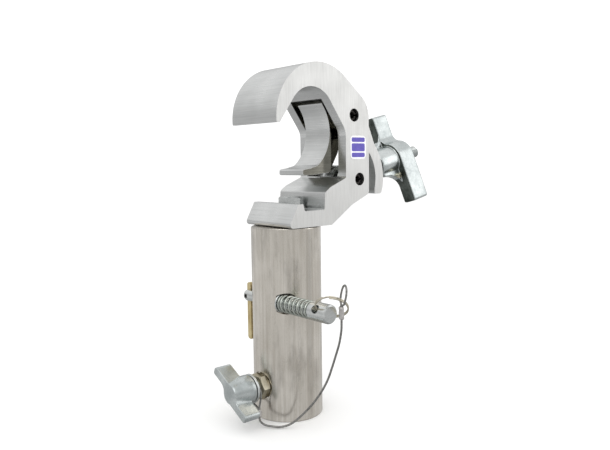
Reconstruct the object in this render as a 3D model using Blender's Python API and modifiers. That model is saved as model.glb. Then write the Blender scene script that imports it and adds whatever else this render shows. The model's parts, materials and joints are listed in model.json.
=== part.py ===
"""Trigger hook clamp with a 28 mm spigot barrel, for hanging stage equipment from a 48-51 mm tube.

Sizes are given in millimetres and become metres where a shape is made.
The world origin is the axis of the clamped tube.  +Z is up, the tube runs along Y, the hook's mouth
faces -X and the swing bolt and its wing nut are on the +X side.
Shapes are written from a datum on the barrel's axis, at the underside of the hook's base.
"""
import math

import bmesh
import bpy
from mathutils import Matrix, Vector

MM = 0.001
GAP = 0.3                       # clearance kept between touching pieces

# Driving dimensions
BODY_WIDTH = 40.0               # hook body along Y
TUBE_AXIS = (3.7, 47.2)         # x, z of the clamped tube's axis from the datum
SLOT_WIDTH = 27.2               # slot through the spine, along Y
UPPER_PIN = (36.0, 62.4)        # trigger pivot
LOWER_PIN = (40.3, 25.4)        # swing bolt pivot
PIN_BORE = 3.75                 # radius of every 7.5 mm pin bore
PIN_RADIUS = PIN_BORE - GAP
BOLT_TILT = math.radians(12.5)  # swing bolt above horizontal
ARM_OUTER = 30.9                # trigger arm's outer radius about the lower pin
ARM_INNER = 23.9
TRIGGER_WIDTH = 21.0
SADDLE_RADIUS = 24.0
EYE_RADIUS = 8.2
EYE_WIDTH = 9.0
M8_SHANK = 3.9
M8_BORE = 4.2
WING_TURN = math.radians(-14.2)  # how the wings stand, about the bolt

BARREL_RADIUS = 20.0
BARREL_BORE = 14.5              # takes a 28 mm spigot
BARREL_LENGTH = 109.3
BARREL_WEB = 22.0               # solid top of the barrel
BOLT_X = 4.5                    # barrel bolt, at the middle of the base slot
BASE_FLOOR = 9.0                # floor of the base slot above the datum

DROP_PIN_X = -12.8              # the drop-nose pin crosses the bore off-centre
DROP_PIN_Z = -41.7
DROP_PIN_RADIUS = 3.5
SPOT_FACE_Y = -11.0
HEAD_START = -37.2
TOGGLE_Y = 18.2
RING_RADIUS = 8.4
RING_WIRE = 0.7

WING_BOLT_Z = -90.0
WING_BOLT_TURN = math.radians(-61.7)
LANYARD_RADIUS = 0.6

ROUND = 32                      # sides of an ordinary round piece


# ---------------------------------------------------------------- scene set-up

def clear_scene():
    for obj in list(bpy.data.objects):
        bpy.data.objects.remove(obj, do_unlink=True)


def new_collection(name):
    collection = bpy.data.collections.new(name)
    bpy.context.scene.collection.children.link(collection)
    return collection


def metal(name, colour, roughness, metallic=1.0):
    material = bpy.data.materials.new(name)
    material.use_nodes = True
    shader = material.node_tree.nodes["Principled BSDF"]
    shader.inputs["Base Color"].default_value = (*colour, 1.0)
    shader.inputs["Roughness"].default_value = roughness
    shader.inputs["Metallic"].default_value = metallic
    material.diffuse_color = (*colour, 1.0)
    return material


def empty(name, location, parent=None, rotation=(0.0, 0.0, 0.0)):
    """A body's frame: an empty on the joint axis that the body moves on."""
    obj = bpy.data.objects.new(name, None)
    obj.empty_display_size = 0.01
    obj.location = Vector(location) * MM
    obj.rotation_euler = rotation
    obj.parent = parent
    PARTS.objects.link(obj)
    return obj


def place(obj, parent, location=(0.0, 0.0, 0.0), rotation=(0.0, 0.0, 0.0)):
    obj.location = Vector(location) * MM
    obj.rotation_euler = rotation
    obj.parent = parent
    return obj


def finish_part(obj, colour, roughness, metallic=1.0, smooth=True):
    """Give a part its own material and smooth its round faces."""
    obj.data.materials.clear()
    obj.data.materials.append(metal(obj.name + "_finish", colour, roughness, metallic))
    if smooth and obj.type == "MESH":
        obj.data.shade_smooth()
        obj.data.set_sharp_from_angle(angle=math.radians(30.0))
    return obj


# ---------------------------------------------------------------- outlines

def arc(centre, radius, start, end, steps):
    """Points of an arc, angles in degrees."""
    points = []
    for i in range(steps + 1):
        angle = math.radians(start + (end - start) * i / steps)
        points.append((centre[0] + radius * math.cos(angle), centre[1] + radius * math.sin(angle)))
    return points


def corner(before, point, after, radius, steps=4):
    """The corner at point, rounded to a radius between its two neighbours."""
    here = Vector(point)
    to_before = (Vector(before) - here).normalized()
    to_after = (Vector(after) - here).normalized()
    half = to_before.angle(to_after) / 2.0
    middle = (to_before + to_after).normalized()
    centre = here + middle * (radius / math.sin(half))
    first = here + to_before * (radius / math.tan(half)) - centre
    last = here + to_after * (radius / math.tan(half)) - centre
    turn = first.angle_signed(last)
    points = []
    for i in range(steps + 1):
        step = first.copy()
        step.rotate(Matrix.Rotation(-turn * i / steps, 2))
        points.append((centre.x + step.x, centre.y + step.y))
    return points


def rounded(corners, steps=4):
    """A closed outline from (x, z, radius) corners."""
    points = []
    for i, (x, z, radius) in enumerate(corners):
        before = corners[i - 1][:2]
        after = corners[(i + 1) % len(corners)][:2]
        if radius > 0.0:
            points.extend(corner(before, (x, z), after, radius, steps))
        else:
            points.append((x, z))
    return points


def to_mesh(curve_object, collection):
    """Turn a curve object into a closed mesh object in the same place."""
    bpy.context.view_layer.update()
    graph = bpy.context.evaluated_depsgraph_get()
    mesh = bpy.data.meshes.new_from_object(curve_object.evaluated_get(graph))
    name = curve_object.name
    matrix = curve_object.matrix_world.copy()
    bpy.data.objects.remove(curve_object, do_unlink=True)
    welded = bmesh.new()
    welded.from_mesh(mesh)
    bmesh.ops.remove_doubles(welded, verts=welded.verts, dist=1e-6)
    bmesh.ops.recalc_face_normals(welded, faces=welded.faces)
    welded.to_mesh(mesh)
    welded.free()
    mesh.name = name
    obj = bpy.data.objects.new(name, mesh)
    obj.matrix_world = matrix
    collection.objects.link(obj)
    return obj


def flat_piece(name, outline, thickness, collection=None):
    """A flat outline in X and Z, as thick along Y as told and centred on Y = 0."""
    curve = bpy.data.curves.new(name, "CURVE")
    curve.dimensions = "2D"
    curve.fill_mode = "BOTH"
    curve.extrude = thickness * MM / 2.0
    spline = curve.splines.new("POLY")
    spline.points.add(len(outline) - 1)
    for point, (x, z) in zip(spline.points, outline):
        point.co = (x * MM, z * MM, 0.0, 1.0)
    spline.use_cyclic_u = True
    obj = bpy.data.objects.new(name, curve)
    (collection or PARTS).objects.link(obj)
    obj = to_mesh(obj, collection or PARTS)
    obj.data.transform(Matrix.Rotation(math.pi / 2.0, 4, "X"))
    return obj


# ---------------------------------------------------------------- round shapes

ALONG = {
    "X": Matrix.Rotation(math.pi / 2.0, 4, "Y"),
    "Y": Matrix.Rotation(-math.pi / 2.0, 4, "X"),
    "Z": Matrix.Identity(4),
}


def cylinder(name, radius, start, end, axis, across=(0.0, 0.0), sides=ROUND, collection=None, turn=0.0):
    """A cylinder or a prism from start to end along an axis; across gives its other two places."""
    mesh = bpy.data.meshes.new(name)
    shape = bmesh.new()
    bmesh.ops.create_cone(shape, cap_ends=True, segments=sides, radius1=radius * MM,
                          radius2=radius * MM, depth=abs(end - start) * MM)
    bmesh.ops.rotate(shape, verts=shape.verts, matrix=Matrix.Rotation(turn, 3, "Z"))
    shape.to_mesh(mesh)
    shape.free()
    mesh.transform(ALONG[axis])
    middle = (start + end) / 2.0
    centre = {
        "X": (middle, across[0], across[1]),
        "Y": (across[0], middle, across[1]),
        "Z": (across[0], across[1], middle),
    }[axis]
    mesh.transform(Matrix.Translation(Vector(centre) * MM))
    obj = bpy.data.objects.new(name, mesh)
    (collection or PARTS).objects.link(obj)
    return obj


def turned(name, profile, axis, closed, across=(0.0, 0.0), collection=None, steps=ROUND):
    """A turned piece: (radius, place along the axis) from its far end down its outer side."""
    mesh = bpy.data.meshes.new(name)
    points = [(radius * MM, 0.0, along * MM) for radius, along in profile]
    edges = [(i, i + 1) for i in range(len(points) - 1)]
    if closed:
        edges.append((len(points) - 1, 0))
    mesh.from_pydata(points, edges, [])
    obj = bpy.data.objects.new(name, mesh)
    (collection or PARTS).objects.link(obj)
    screw = obj.modifiers.new("turn", "SCREW")
    screw.axis = "Z"
    screw.steps = steps
    screw.render_steps = steps
    screw.use_merge_vertices = True
    screw.merge_threshold = 0.00001
    offset = {"X": (0.0, *across), "Y": (across[0], 0.0, across[1]), "Z": (*across, 0.0)}[axis]
    graph = bpy.context.evaluated_depsgraph_get()
    bpy.context.view_layer.update()
    solid = bpy.data.meshes.new_from_object(obj.evaluated_get(graph))
    solid.transform(ALONG[axis])
    solid.transform(Matrix.Translation(Vector(offset) * MM))
    obj.modifiers.clear()
    obj.data = solid
    return obj


def ring(name, outer, inner, start, end, axis, across=(0.0, 0.0), steps=ROUND):
    """A washer, sleeve or hollow pin."""
    profile = [(inner, end), (outer, end), (outer, start), (inner, start)]
    return turned(name, profile, axis, True, across, steps=steps)


def wire(name, points, radius, closed=False, resolution=2):
    """A round wire through points given in millimetres."""
    curve = bpy.data.curves.new(name, "CURVE")
    curve.dimensions = "3D"
    curve.bevel_depth = radius * MM
    curve.bevel_resolution = resolution
    curve.use_fill_caps = True
    spline = curve.splines.new("POLY")
    spline.points.add(len(points) - 1)
    for point, place_mm in zip(spline.points, points):
        point.co = (*(Vector(place_mm) * MM), 1.0)
    spline.use_cyclic_u = closed
    obj = bpy.data.objects.new(name, curve)
    PARTS.objects.link(obj)
    return obj


def smooth_route(route, spacing):
    """Evenly spaced points on a smooth curve through the route's own points."""
    dense = []
    knots = [Vector(point) for point in route]
    knots = [2 * knots[0] - knots[1]] + knots + [2 * knots[-1] - knots[-2]]
    for a, b, c, d in zip(knots, knots[1:], knots[2:], knots[3:]):
        for i in range(24):
            t = i / 24.0
            dense.append(0.5 * (2 * b + (c - a) * t + (2 * a - 5 * b + 4 * c - d) * t ** 2
                                + (3 * b - a - 3 * c + d) * t ** 3))
    dense.append(knots[-2])
    length = sum((q - p).length for p, q in zip(dense, dense[1:]))
    count = max(2, round(length / spacing))
    points = [dense[0]]
    walked = 0.0
    for p, q in zip(dense, dense[1:]):
        step = (q - p).length
        while len(points) < count and walked + step >= length * len(points) / count:
            points.append(p.lerp(q, (length * len(points) / count - walked) / step))
        walked += step
    points.append(dense[-1])
    return points


# ---------------------------------------------------------------- Boolean work

def boolean(obj, tool, operation):
    modifier = obj.modifiers.new(operation.lower() + "_" + tool.name, "BOOLEAN")
    modifier.operation = operation
    modifier.solver = "EXACT"
    modifier.object = tool
    tool.hide_render = True
    tool.display_type = "WIRE"
    for collection in list(tool.users_collection):
        collection.objects.unlink(tool)
    CUTTERS.objects.link(tool)


def boolean_all(obj, tools, operation):
    """Put each tool in the piece's own frame and apply it."""
    for tool in tools:
        tool.parent = obj.parent
        tool.location = obj.location
        tool.rotation_euler = obj.rotation_euler
        boolean(obj, tool, operation)
    return obj


def cut(obj, *tools):
    return boolean_all(obj, tools, "DIFFERENCE")


def add(obj, *tools):
    return boolean_all(obj, tools, "UNION")


# ---------------------------------------------------------------- hook body

def hook_outline():
    """Side view of the extruded hook, from the lip's tip over the top and round to the lip again."""
    outer_centre, outer_radius = (9.5, 59.4), 31.0
    shoulder_centre, shoulder_radius = (32.8, 61.1), 15.4
    apex, half = (3.7, 88.2), math.radians(36.1)
    top_radius = 16.4
    top_centre = (apex[0], apex[1] - top_radius / math.sin(half))
    lip_z = 56.8
    spine_x, rear_x = 29.1, 48.2

    def flank_x(z):
        return (apex[1] - z) * math.tan(half)

    flank_end = apex[1] - (spine_x - apex[0]) / math.tan(half)
    outline = arc(outer_centre, outer_radius, 184.8, 52.0, 24)
    outline += arc(shoulder_centre, shoulder_radius, 52.0, 0.0, 8)
    base = [
        (rear_x, 16.7, 3.0), (34.1, 10.7, 8.0), (17.6, 0.0, 1.5), (-14.4, 0.0, 2.0),
        (-7.3, 12.9, 0.4), (-3.7, 12.9, 0.4), (-2.7, BASE_FLOOR, 0.5), (11.9, BASE_FLOOR, 0.5),
        (12.7, 18.8, 2.0), (17.0, 21.6, 3.0), (spine_x, 26.4, 1.5), (spine_x, flank_end, 10.0),
    ]
    corners = [(rear_x, 61.1, 0.0)] + base + [(apex[0] + flank_x(70.0), 70.0, 0.0)]
    for i in range(1, len(corners) - 1):
        x, z, radius = corners[i]
        outline += corner(corners[i - 1][:2], (x, z), corners[i + 1][:2], radius)
    outline += arc(top_centre, top_radius, math.degrees(half), 180.0 - math.degrees(half), 14)
    outline.append((apex[0] - flank_x(lip_z), lip_z))
    return outline


def slot_outline():
    """Side view of the slot that clears the trigger and the swing bolt."""
    clear = 8.8
    swing = BOLT_TILT - math.radians(60.0)
    lower = Vector(LOWER_PIN)
    along = Vector((math.cos(swing), math.sin(swing)))
    below = Vector((along.y, -along.x)) * (M8_SHANK + 0.6)
    outline = [(10.0, 27.0), (10.0, 71.2)]
    outline += arc(UPPER_PIN, clear, 90.0, 70.0, 3)
    outline += [(52.0, 67.0), (66.0, 67.0)]
    outline.append(tuple(lower + below + along * 40.0))
    outline += [tuple(lower + below + along * 7.7)]
    outline += arc(LOWER_PIN, clear, -80.0, -190.0, 14)
    return outline


def hook_body():
    body = flat_piece("hook_body", hook_outline(), BODY_WIDTH)
    place(body, DATUM)
    reach = BODY_WIDTH / 2.0 + 2.0
    cut(
        body,
        flat_piece("slot_cutter", slot_outline(), SLOT_WIDTH),
        cylinder("upper_pin_cutter", PIN_BORE, -reach, reach, "Y", UPPER_PIN, 24),
        cylinder("lower_pin_cutter", PIN_BORE, -reach, reach, "Y", LOWER_PIN, 24),
        cylinder("base_bolt_cutter", M8_BORE, -3.0, BASE_FLOOR + 3.0, "Z", (BOLT_X, 0.0), 24),
    )
    return finish_part(body, (0.80, 0.80, 0.79), 0.32)


def roll_pin(name, at):
    pin = ring(name, PIN_RADIUS, 1.9, -18.0, 18.0, "Y", at, 24)
    place(pin, DATUM)
    return finish_part(pin, (0.10, 0.10, 0.10), 0.45)


def side_label():
    outline = rounded([(32.6, 37.2, 2.5), (45.4, 37.2, 2.5), (45.4, 50.6, 2.5), (32.6, 50.6, 2.5)])
    label = flat_piece("side_label", outline, 0.4)
    place(label, DATUM, (0.0, -(BODY_WIDTH / 2.0 + GAP + 0.2), 0.0))
    return finish_part(label, (0.11, 0.10, 0.45), 0.45, 0.0)


def pivot_sleeves():
    inside = SLOT_WIDTH / 2.0 - GAP
    washers = (("near", -1.0), ("far", 1.0))
    for side, sign in washers:
        ends = sorted((sign * (TRIGGER_WIDTH / 2.0 + GAP), sign * inside))
        washer = ring("trigger_washer_" + side, 7.0, PIN_BORE, ends[0], ends[1], "Y", UPPER_PIN, 24)
        place(washer, DATUM)
        finish_part(washer, (0.85, 0.84, 0.80), 0.5, 0.0)
    sleeve = ring("swing_bolt_sleeve", 6.0, PIN_BORE, EYE_WIDTH / 2.0 + GAP, inside, "Y", LOWER_PIN, 24)
    place(sleeve, DATUM)
    finish_part(sleeve, (0.70, 0.71, 0.72), 0.35)


def torsion_spring():
    """Spring round the lower pin that lifts the swing bolt into the trigger's fork."""
    coil, turns, pitch, per_turn = 5.6, 3, 1.9, 12
    start_y = -12.5
    points = [(-7.5, start_y, coil), (-3.5, start_y, coil)]
    for i in range(turns * per_turn + per_turn // 2 + 1):
        angle = math.radians(90.0 - 360.0 * i / per_turn)
        y = start_y + pitch * i / per_turn
        points.append((coil * math.cos(angle), y, coil * math.sin(angle)))
    end_y = points[-1][1]
    points += [(-2.5, end_y, -coil), (-4.8, end_y, -coil + 0.5)]
    spring = wire("torsion_spring", points, 0.75)
    place(spring, DATUM, (LOWER_PIN[0], 0.0, LOWER_PIN[1]))
    return finish_part(spring, (0.62, 0.64, 0.65), 0.3)


# ---------------------------------------------------------------- trigger

def trigger_outline():
    """Side view of the trigger: saddle on the tube's side, pivot lobe, and arm round the lower pin."""
    pivot, lobe = Vector(UPPER_PIN), 7.6
    lower = Vector(LOWER_PIN)
    saddle = (1.3, 52.9)
    outline = arc(saddle, SADDLE_RADIUS, 40.5, -53.0, 16)
    outline += [(10.1, 32.2), (5.2, 31.6), (4.5, 31.0), (4.4, 29.2), (5.0, 28.3), (12.0, 28.3)]
    outline += corner((12.0, 28.3), (25.0, 29.6), (31.6, 40.6), 1.5)
    outline += corner((25.0, 29.6), (31.6, 40.6), (34.1, 48.5), 3.0)
    outline += arc(lower, ARM_INNER, 105.0, -16.0, 18)
    outline += [(63.4, 15.6)]
    outline += corner((63.4, 15.5), (69.6, 15.5), (70.3, 19.0), 2.0)
    outline += arc(lower, ARM_OUTER, -11.0, 42.0, 9)
    outline += corner((63.3, 46.0), (57.4, 59.2), (39.7, 69.1), 1.5)
    outline += arc(pivot, lobe, 61.0, 92.0, 4)
    outline += corner((35.0, 70.0), (19.2, 69.3), (19.6, 68.5), 0.4, 2)
    return outline


def trigger():
    piece = flat_piece("trigger", [(x - UPPER_PIN[0], z - UPPER_PIN[1]) for x, z in trigger_outline()],
                       TRIGGER_WIDTH)
    place(piece, TRIGGER_FRAME)
    reach = TRIGGER_WIDTH / 2.0 + 2.0
    fork_top, fork_half = M8_SHANK + 0.45, M8_SHANK + 0.6
    fork = rounded([(18.0, -34.0, 0.0), (36.0, -34.0, 0.0), (36.0, fork_top, 0.0), (18.0, fork_top, 0.0)])
    tilt = Matrix.Rotation(BOLT_TILT, 2)
    offset = Vector(LOWER_PIN) - Vector(UPPER_PIN)
    fork = [tuple(tilt @ Vector(point) + offset) for point in fork]
    cut(
        piece,
        cylinder("trigger_pin_cutter", PIN_BORE, -reach, reach, "Y", (0.0, 0.0), 24),
        flat_piece("fork_cutter", fork, fork_half * 2.0),
    )
    return finish_part(piece, (0.78, 0.78, 0.77), 0.34)


# ---------------------------------------------------------------- swing bolt and wing nut

def wing_profile(hub, outer, inner, span, fillet):
    """End view of two offset wings on a round hub: each wing lies between inner and outer."""
    def half_turn(points):
        return [(-x, -y) for x, y in points]

    def blend(edge, sign):
        centre_x = edge + sign * fillet
        centre_y = -math.sqrt((hub + fillet) ** 2 - centre_x ** 2)
        toward_hub = math.degrees(math.atan2(-centre_y, -centre_x))
        level = 180.0 if sign > 0 else 0.0
        return arc((centre_x, centre_y), fillet, toward_hub, level, 5)

    half = [(outer, 0.0)] if outer >= hub else blend(outer, 1.0)
    half += corner((outer, 0.0), (outer, -span), (inner, -span), 1.2, 3)
    half += corner((outer, -span), (inner, -span), (inner, 0.0), 1.2, 3)
    inner_blend = blend(inner, -1.0)
    inner_blend.reverse()
    half += inner_blend
    last = math.degrees(math.atan2(inner_blend[-1][1], inner_blend[-1][0]))
    first_opposite = half_turn(half)[0]
    stop = math.degrees(math.atan2(first_opposite[1], first_opposite[0]))
    turn = (stop - last) % 360.0 - 360.0
    half += arc((0.0, 0.0), hub, last, last + turn, 8)[1:-1]
    return half + half_turn(half)


def wing_plate(name, profile, start, end, turn):
    """The wings' end view pushed out along X, its outer side towards -Y, turned about X."""
    plate = flat_piece(name, profile, end - start)
    lie_across = Matrix.Rotation(-math.pi / 2.0, 4, "Z")
    plate.data.transform(Matrix.Translation((0.0, (start + end) / 2.0 * MM, 0.0)))
    plate.data.transform(lie_across)
    plate.data.transform(Matrix.Rotation(turn, 4, "X"))
    return plate


def swing_bolt():
    eye = turned("swing_bolt", [(0.0, EYE_WIDTH / 2.0), (EYE_RADIUS - 0.8, EYE_WIDTH / 2.0),
                                (EYE_RADIUS, EYE_WIDTH / 2.0 - 0.8), (EYE_RADIUS, 0.8 - EYE_WIDTH / 2.0),
                                (EYE_RADIUS - 0.8, -EYE_WIDTH / 2.0), (0.0, -EYE_WIDTH / 2.0)], "Y", False)
    place(eye, SWING_FRAME)
    shank = turned("shank_join", [(0.0, 76.0), (M8_SHANK - 0.8, 76.0), (M8_SHANK, 75.2),
                                  (M8_SHANK, 5.0), (0.0, 5.0)], "X", False, steps=24)
    add(eye, shank)
    cut(eye, cylinder("eye_cutter", PIN_BORE, -9.0, 9.0, "Y", (0.0, 0.0), 24))
    return finish_part(eye, (0.66, 0.68, 0.69), 0.3)


def thrust_washer():
    washer = ring("thrust_washer", 8.5, M8_BORE, 31.3, 32.9, "X", (0.0, 0.0), 24)
    place(washer, NUT_SLIDE_FRAME)
    return finish_part(washer, (0.66, 0.68, 0.69), 0.3)


def gusset(name, turn):
    """The concave rib from the boss out to the back of one wing."""
    outline = [(34.6, -4.0), (34.6, -8.7)]
    for i in range(9):
        angle = math.radians(90.0 * i / 8)
        outline.append((35.4 + 13.7 * math.sin(angle), -19.5 + 10.3 * math.cos(angle)))
    outline += [(51.0, -19.5), (51.0, -4.0)]
    rib = flat_piece(name, outline, 4.6)
    rib.data.transform(Matrix.Translation((0.0, -3.7 * MM, 0.0)))
    rib.data.transform(Matrix.Rotation(turn, 4, "X"))
    return rib


def wing_nut():
    """Boss towards the arm and two offset wings, bored for the M8 stud."""
    pin_x, pin_down = 46.4, -9.2
    boss = turned("wing_nut", [(0.0, 50.0), (9.3, 50.0), (9.3, 33.8), (8.7, 33.2), (0.0, 33.2)], "X", False)
    place(boss, WING_NUT_FRAME)
    wings = wing_plate("wings_join", wing_profile(10.8, 10.8, 1.3, 30.1, 6.0), 49.1, 62.3, WING_TURN)
    add(boss, wings, gusset("lower_gusset_join", WING_TURN), gusset("upper_gusset_join", WING_TURN + math.pi))
    groove = cylinder("groove_cutter", 2.05, -12.0, 6.0, "Y", (pin_x, pin_down), 16)
    cut(boss, cylinder("nut_bore_cutter", M8_BORE, 30.0, 66.0, "X", (0.0, 0.0), 24), groove)
    finish_part(boss, (0.62, 0.65, 0.66), 0.3)
    pin = cylinder("wing_nut_spring_pin", 1.75, -10.6, 5.0, "Y", (pin_x, pin_down), 16)
    place(pin, WING_NUT_FRAME)
    finish_part(pin, (0.62, 0.62, 0.60), 0.35)


# ---------------------------------------------------------------- barrel

def barrel():
    top, bottom, chamfer = -GAP, -BARREL_LENGTH, 0.8
    profile = [
        (0.0, top), (BARREL_RADIUS - chamfer, top), (BARREL_RADIUS, top - chamfer),
        (BARREL_RADIUS, bottom + chamfer), (BARREL_RADIUS - chamfer, bottom),
        (BARREL_BORE + chamfer, bottom), (BARREL_BORE, bottom + chamfer),
        (BARREL_BORE, -BARREL_WEB), (0.0, -BARREL_WEB),
    ]
    body = turned("barrel", profile, "Z", False, steps=64)
    place(body, DATUM)
    at = (DROP_PIN_X, DROP_PIN_Z)
    cut(
        body,
        cylinder("barrel_bolt_cutter", M8_BORE, -BARREL_WEB - 2.0, 2.0, "Z", (BOLT_X, 0.0), 24),
        cylinder("drop_pin_cutter", DROP_PIN_RADIUS + GAP, -24.0, 24.0, "Y", at, 24),
        cylinder("spot_face_cutter", 5.9, -24.0, SPOT_FACE_Y, "Y", at, 24),
        cylinder("wing_bolt_cutter", M8_BORE, -24.0, -8.0, "X", (0.0, WING_BOLT_Z), 24),
        cylinder("nut_face_cutter", 8.0, -24.0, -18.3, "X", (0.0, WING_BOLT_Z), ROUND),
    )
    return finish_part(body, (0.72, 0.70, 0.67), 0.34)


def barrel_fixings():
    washer = ring("barrel_bolt_washer", 6.8, M8_BORE, BASE_FLOOR + GAP, BASE_FLOOR + 1.6, "Z",
                  (BOLT_X, 0.0), 24)
    place(washer, DATUM)
    finish_part(washer, (0.60, 0.61, 0.62), 0.35)
    seat = BASE_FLOOR + 1.9
    across_corners = 13.0 / math.sqrt(3.0)
    bolt = cylinder("barrel_bolt", across_corners, seat, seat + 5.3, "Z", (BOLT_X, 0.0), 6,
                    turn=math.pi / 6.0)
    place(bolt, DATUM)
    add(bolt, cylinder("bolt_shank_join", M8_SHANK, -19.0, seat + 1.0, "Z", (BOLT_X, 0.0), 24))
    finish_part(bolt, (0.60, 0.61, 0.62), 0.35)


# ---------------------------------------------------------------- drop-nose pin

RING_ALONG = Vector((0.0, -0.839, 0.545))
RING_ACROSS = Vector((-0.819, 0.313, 0.482))
RING_HOLE = Vector((0.0, -45.0, 0.0))


def drop_pin():
    """Locking pin along Y with a thick head, a cross hole for the ring and a slotted nose."""
    head_end, nose = -50.5, TOGGLE_Y + 3.4
    profile = [
        (0.0, nose), (2.0, nose), (3.0, nose - 0.6), (DROP_PIN_RADIUS, nose - 1.8),
        (DROP_PIN_RADIUS, HEAD_START), (5.1, HEAD_START), (5.1, head_end + 0.8),
        (4.3, head_end), (0.0, head_end),
    ]
    pin = turned("drop_pin", profile, "Y", False, steps=24)
    place(pin, DROP_PIN_FRAME)
    slot = rounded([(-1.4, 6.0, 0.0), (1.4, 6.0, 0.0), (1.4, 30.0, 0.0), (-1.4, 30.0, 0.0)])
    slot = flat_piece("nose_slot_cutter", slot, 12.0)
    slot.data.transform(Matrix.Rotation(-math.pi / 2.0, 4, "X"))
    cross = cylinder("cross_hole_cutter", 2.5, -9.0, 9.0, "Z", (0.0, 0.0), 20)
    aim = RING_ACROSS.to_track_quat("Z", "Y").to_matrix().to_4x4()
    cross.data.transform(Matrix.Translation(RING_HOLE * MM) @ aim)
    cut(pin, slot, cross, cylinder("rivet_cutter", 1.35, -5.0, 5.0, "X", (TOGGLE_Y, 0.0), 16))
    return finish_part(pin, (0.63, 0.64, 0.63), 0.32)


def toggle_set():
    rivet = ring("toggle_rivet", 1.05, 0.5, -3.3, 3.3, "X", (TOGGLE_Y, 0.0), 16)
    place(rivet, DROP_PIN_FRAME)
    finish_part(rivet, (0.10, 0.10, 0.10), 0.4)
    half = 1.7
    outline = arc((0.0, 6.1), half, 0.0, 180.0, 6)
    outline += corner((-half, 0.0), (-half, -26.0), (half, -26.0), 0.6, 2)
    outline += corner((-half, -26.0), (half, -26.0), (half, 0.0), 1.6, 3)
    blade = flat_piece("toggle", outline, 2.0)
    blade.data.transform(Matrix.Rotation(math.pi / 2.0, 4, "Z"))
    place(blade, TOGGLE_FRAME)
    cut(blade, cylinder("toggle_hole_cutter", 1.35, -3.0, 3.0, "X", (0.0, 0.0), 12))
    return finish_part(blade, (0.66, 0.56, 0.34), 0.4)


def pin_spring_set():
    at = (DROP_PIN_X, DROP_PIN_Z)
    washer = ring("pin_seat_washer", 5.5, DROP_PIN_RADIUS + GAP, SPOT_FACE_Y - 1.3, SPOT_FACE_Y - GAP,
                  "Y", at, 24)
    place(washer, DATUM)
    finish_part(washer, (0.60, 0.61, 0.62), 0.35)
    coil, gauge, turns, per_turn = 4.45, 0.6, 6.5, 12
    start, end = SPOT_FACE_Y - 1.3 - GAP - gauge, HEAD_START + GAP + gauge
    count = int(turns * per_turn)
    points = []
    for i in range(count + 1):
        angle = 2.0 * math.pi * i / per_turn
        y = start + (end - start) * i / count
        points.append((coil * math.cos(angle), y, coil * math.sin(angle)))
    spring = wire("pin_spring", points, gauge)
    place(spring, DATUM, (DROP_PIN_X, 0.0, DROP_PIN_Z))
    finish_part(spring, (0.64, 0.66, 0.66), 0.28)


def split_ring():
    centre = RING_HOLE + RING_ALONG * (RING_RADIUS - 0.85)
    points = []
    for i in range(36):
        angle = 2.0 * math.pi * i / 36
        points.append(centre + RING_RADIUS * (math.cos(angle) * RING_ALONG + math.sin(angle) * RING_ACROSS))
    hoop = wire("split_ring", points, RING_WIRE, True)
    place(hoop, DROP_PIN_FRAME)
    return finish_part(hoop, (0.62, 0.58, 0.46), 0.32)


# ---------------------------------------------------------------- spigot wing bolt

def wing_bolt_set():
    at = (0.0, WING_BOLT_Z)
    corners = 13.0 / math.sqrt(3.0)
    insert = cylinder("barrel_hex_nut", corners, -23.6, -18.6, "X", at, 6)
    place(insert, DATUM)
    cut(insert, cylinder("hex_nut_bore_cutter", M8_BORE, -26.0, -16.0, "X", at, 24))
    finish_part(insert, (0.66, 0.62, 0.48), 0.35, smooth=False)
    washer = ring("wing_bolt_washer", 8.2, M8_BORE, -28.0, -26.6, "X", (0.0, 0.0), 24)
    place(washer, WING_BOLT_SLIDE_FRAME)
    finish_part(washer, (0.62, 0.64, 0.64), 0.32)
    body = turned("wing_bolt", [
        (0.0, -11.5), (M8_SHANK - 0.9, -11.5), (M8_SHANK, -12.4), (M8_SHANK, -28.3), (7.8, -28.3),
        (8.2, -28.8), (8.2, -31.0), (7.8, -33.4), (7.0, -35.8), (6.3, -38.4), (5.9, -41.0),
        (5.4, -41.6), (0.0, -41.6),
    ], "X", False)
    place(body, WING_BOLT_FRAME)
    left_handed = [(-x, y) for x, y in reversed(wing_profile(5.5, 4.9, 0.4, 17.7, 5.0))]
    wings = wing_plate("bolt_wings_join", left_handed, -41.8, -31.8, WING_BOLT_TURN)
    add(body, wings)
    return finish_part(body, (0.64, 0.66, 0.67), 0.28)


# ---------------------------------------------------------------- lanyard

LANYARD_ROUTE = (
    (-12.6, -58.2, -43.8), (-11.8, -57.1, -49.2), (-10.1, -53.8, -56.5), (-8.8, -50.0, -63.5),
    (-8.2, -46.2, -71.5), (-8.1, -42.5, -79.3), (-8.7, -37.6, -87.4), (-10.3, -32.2, -95.0),
    (-12.9, -27.5, -101.0), (-16.7, -22.8, -106.3), (-21.0, -18.9, -108.2), (-24.6, -15.2, -108.0),
    (-26.8, -11.6, -107.6), (-27.2, -8.6, -106.6), (-26.5, -6.6, -105.6),
)
# Each end: ferrule top, ferrule foot, the loop's width direction, and half the loop (across, up)
LANYARD_ENDS = (
    ("lanyard_upper", (DROP_PIN_X, -58.3, -36.3), (-12.7, -58.3, -42.7), (0.4, 1.0, 0.3),
     ((0.6, 0.2), (2.4, 1.6), (2.9, 4.5), (2.8, 7.4), (1.8, 9.8), (0.0, 10.7))),
    ("lanyard_lower", (-25.2, -4.9, -101.4), (-26.0, -5.8, -105.0), (0.0, 1.0, -0.5),
     ((0.6, 0.3), (3.8, 3.8), (6.1, 7.2), (6.1, 12.0), (3.4, 15.4), (0.0, 16.5))),
)

LOOP_UP = {
    "lanyard_upper": Vector((0.0, -0.27, 1.0)).normalized(),
    "lanyard_lower": Vector((0.0, 4.9, 9.7)).normalized(),
}


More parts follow.
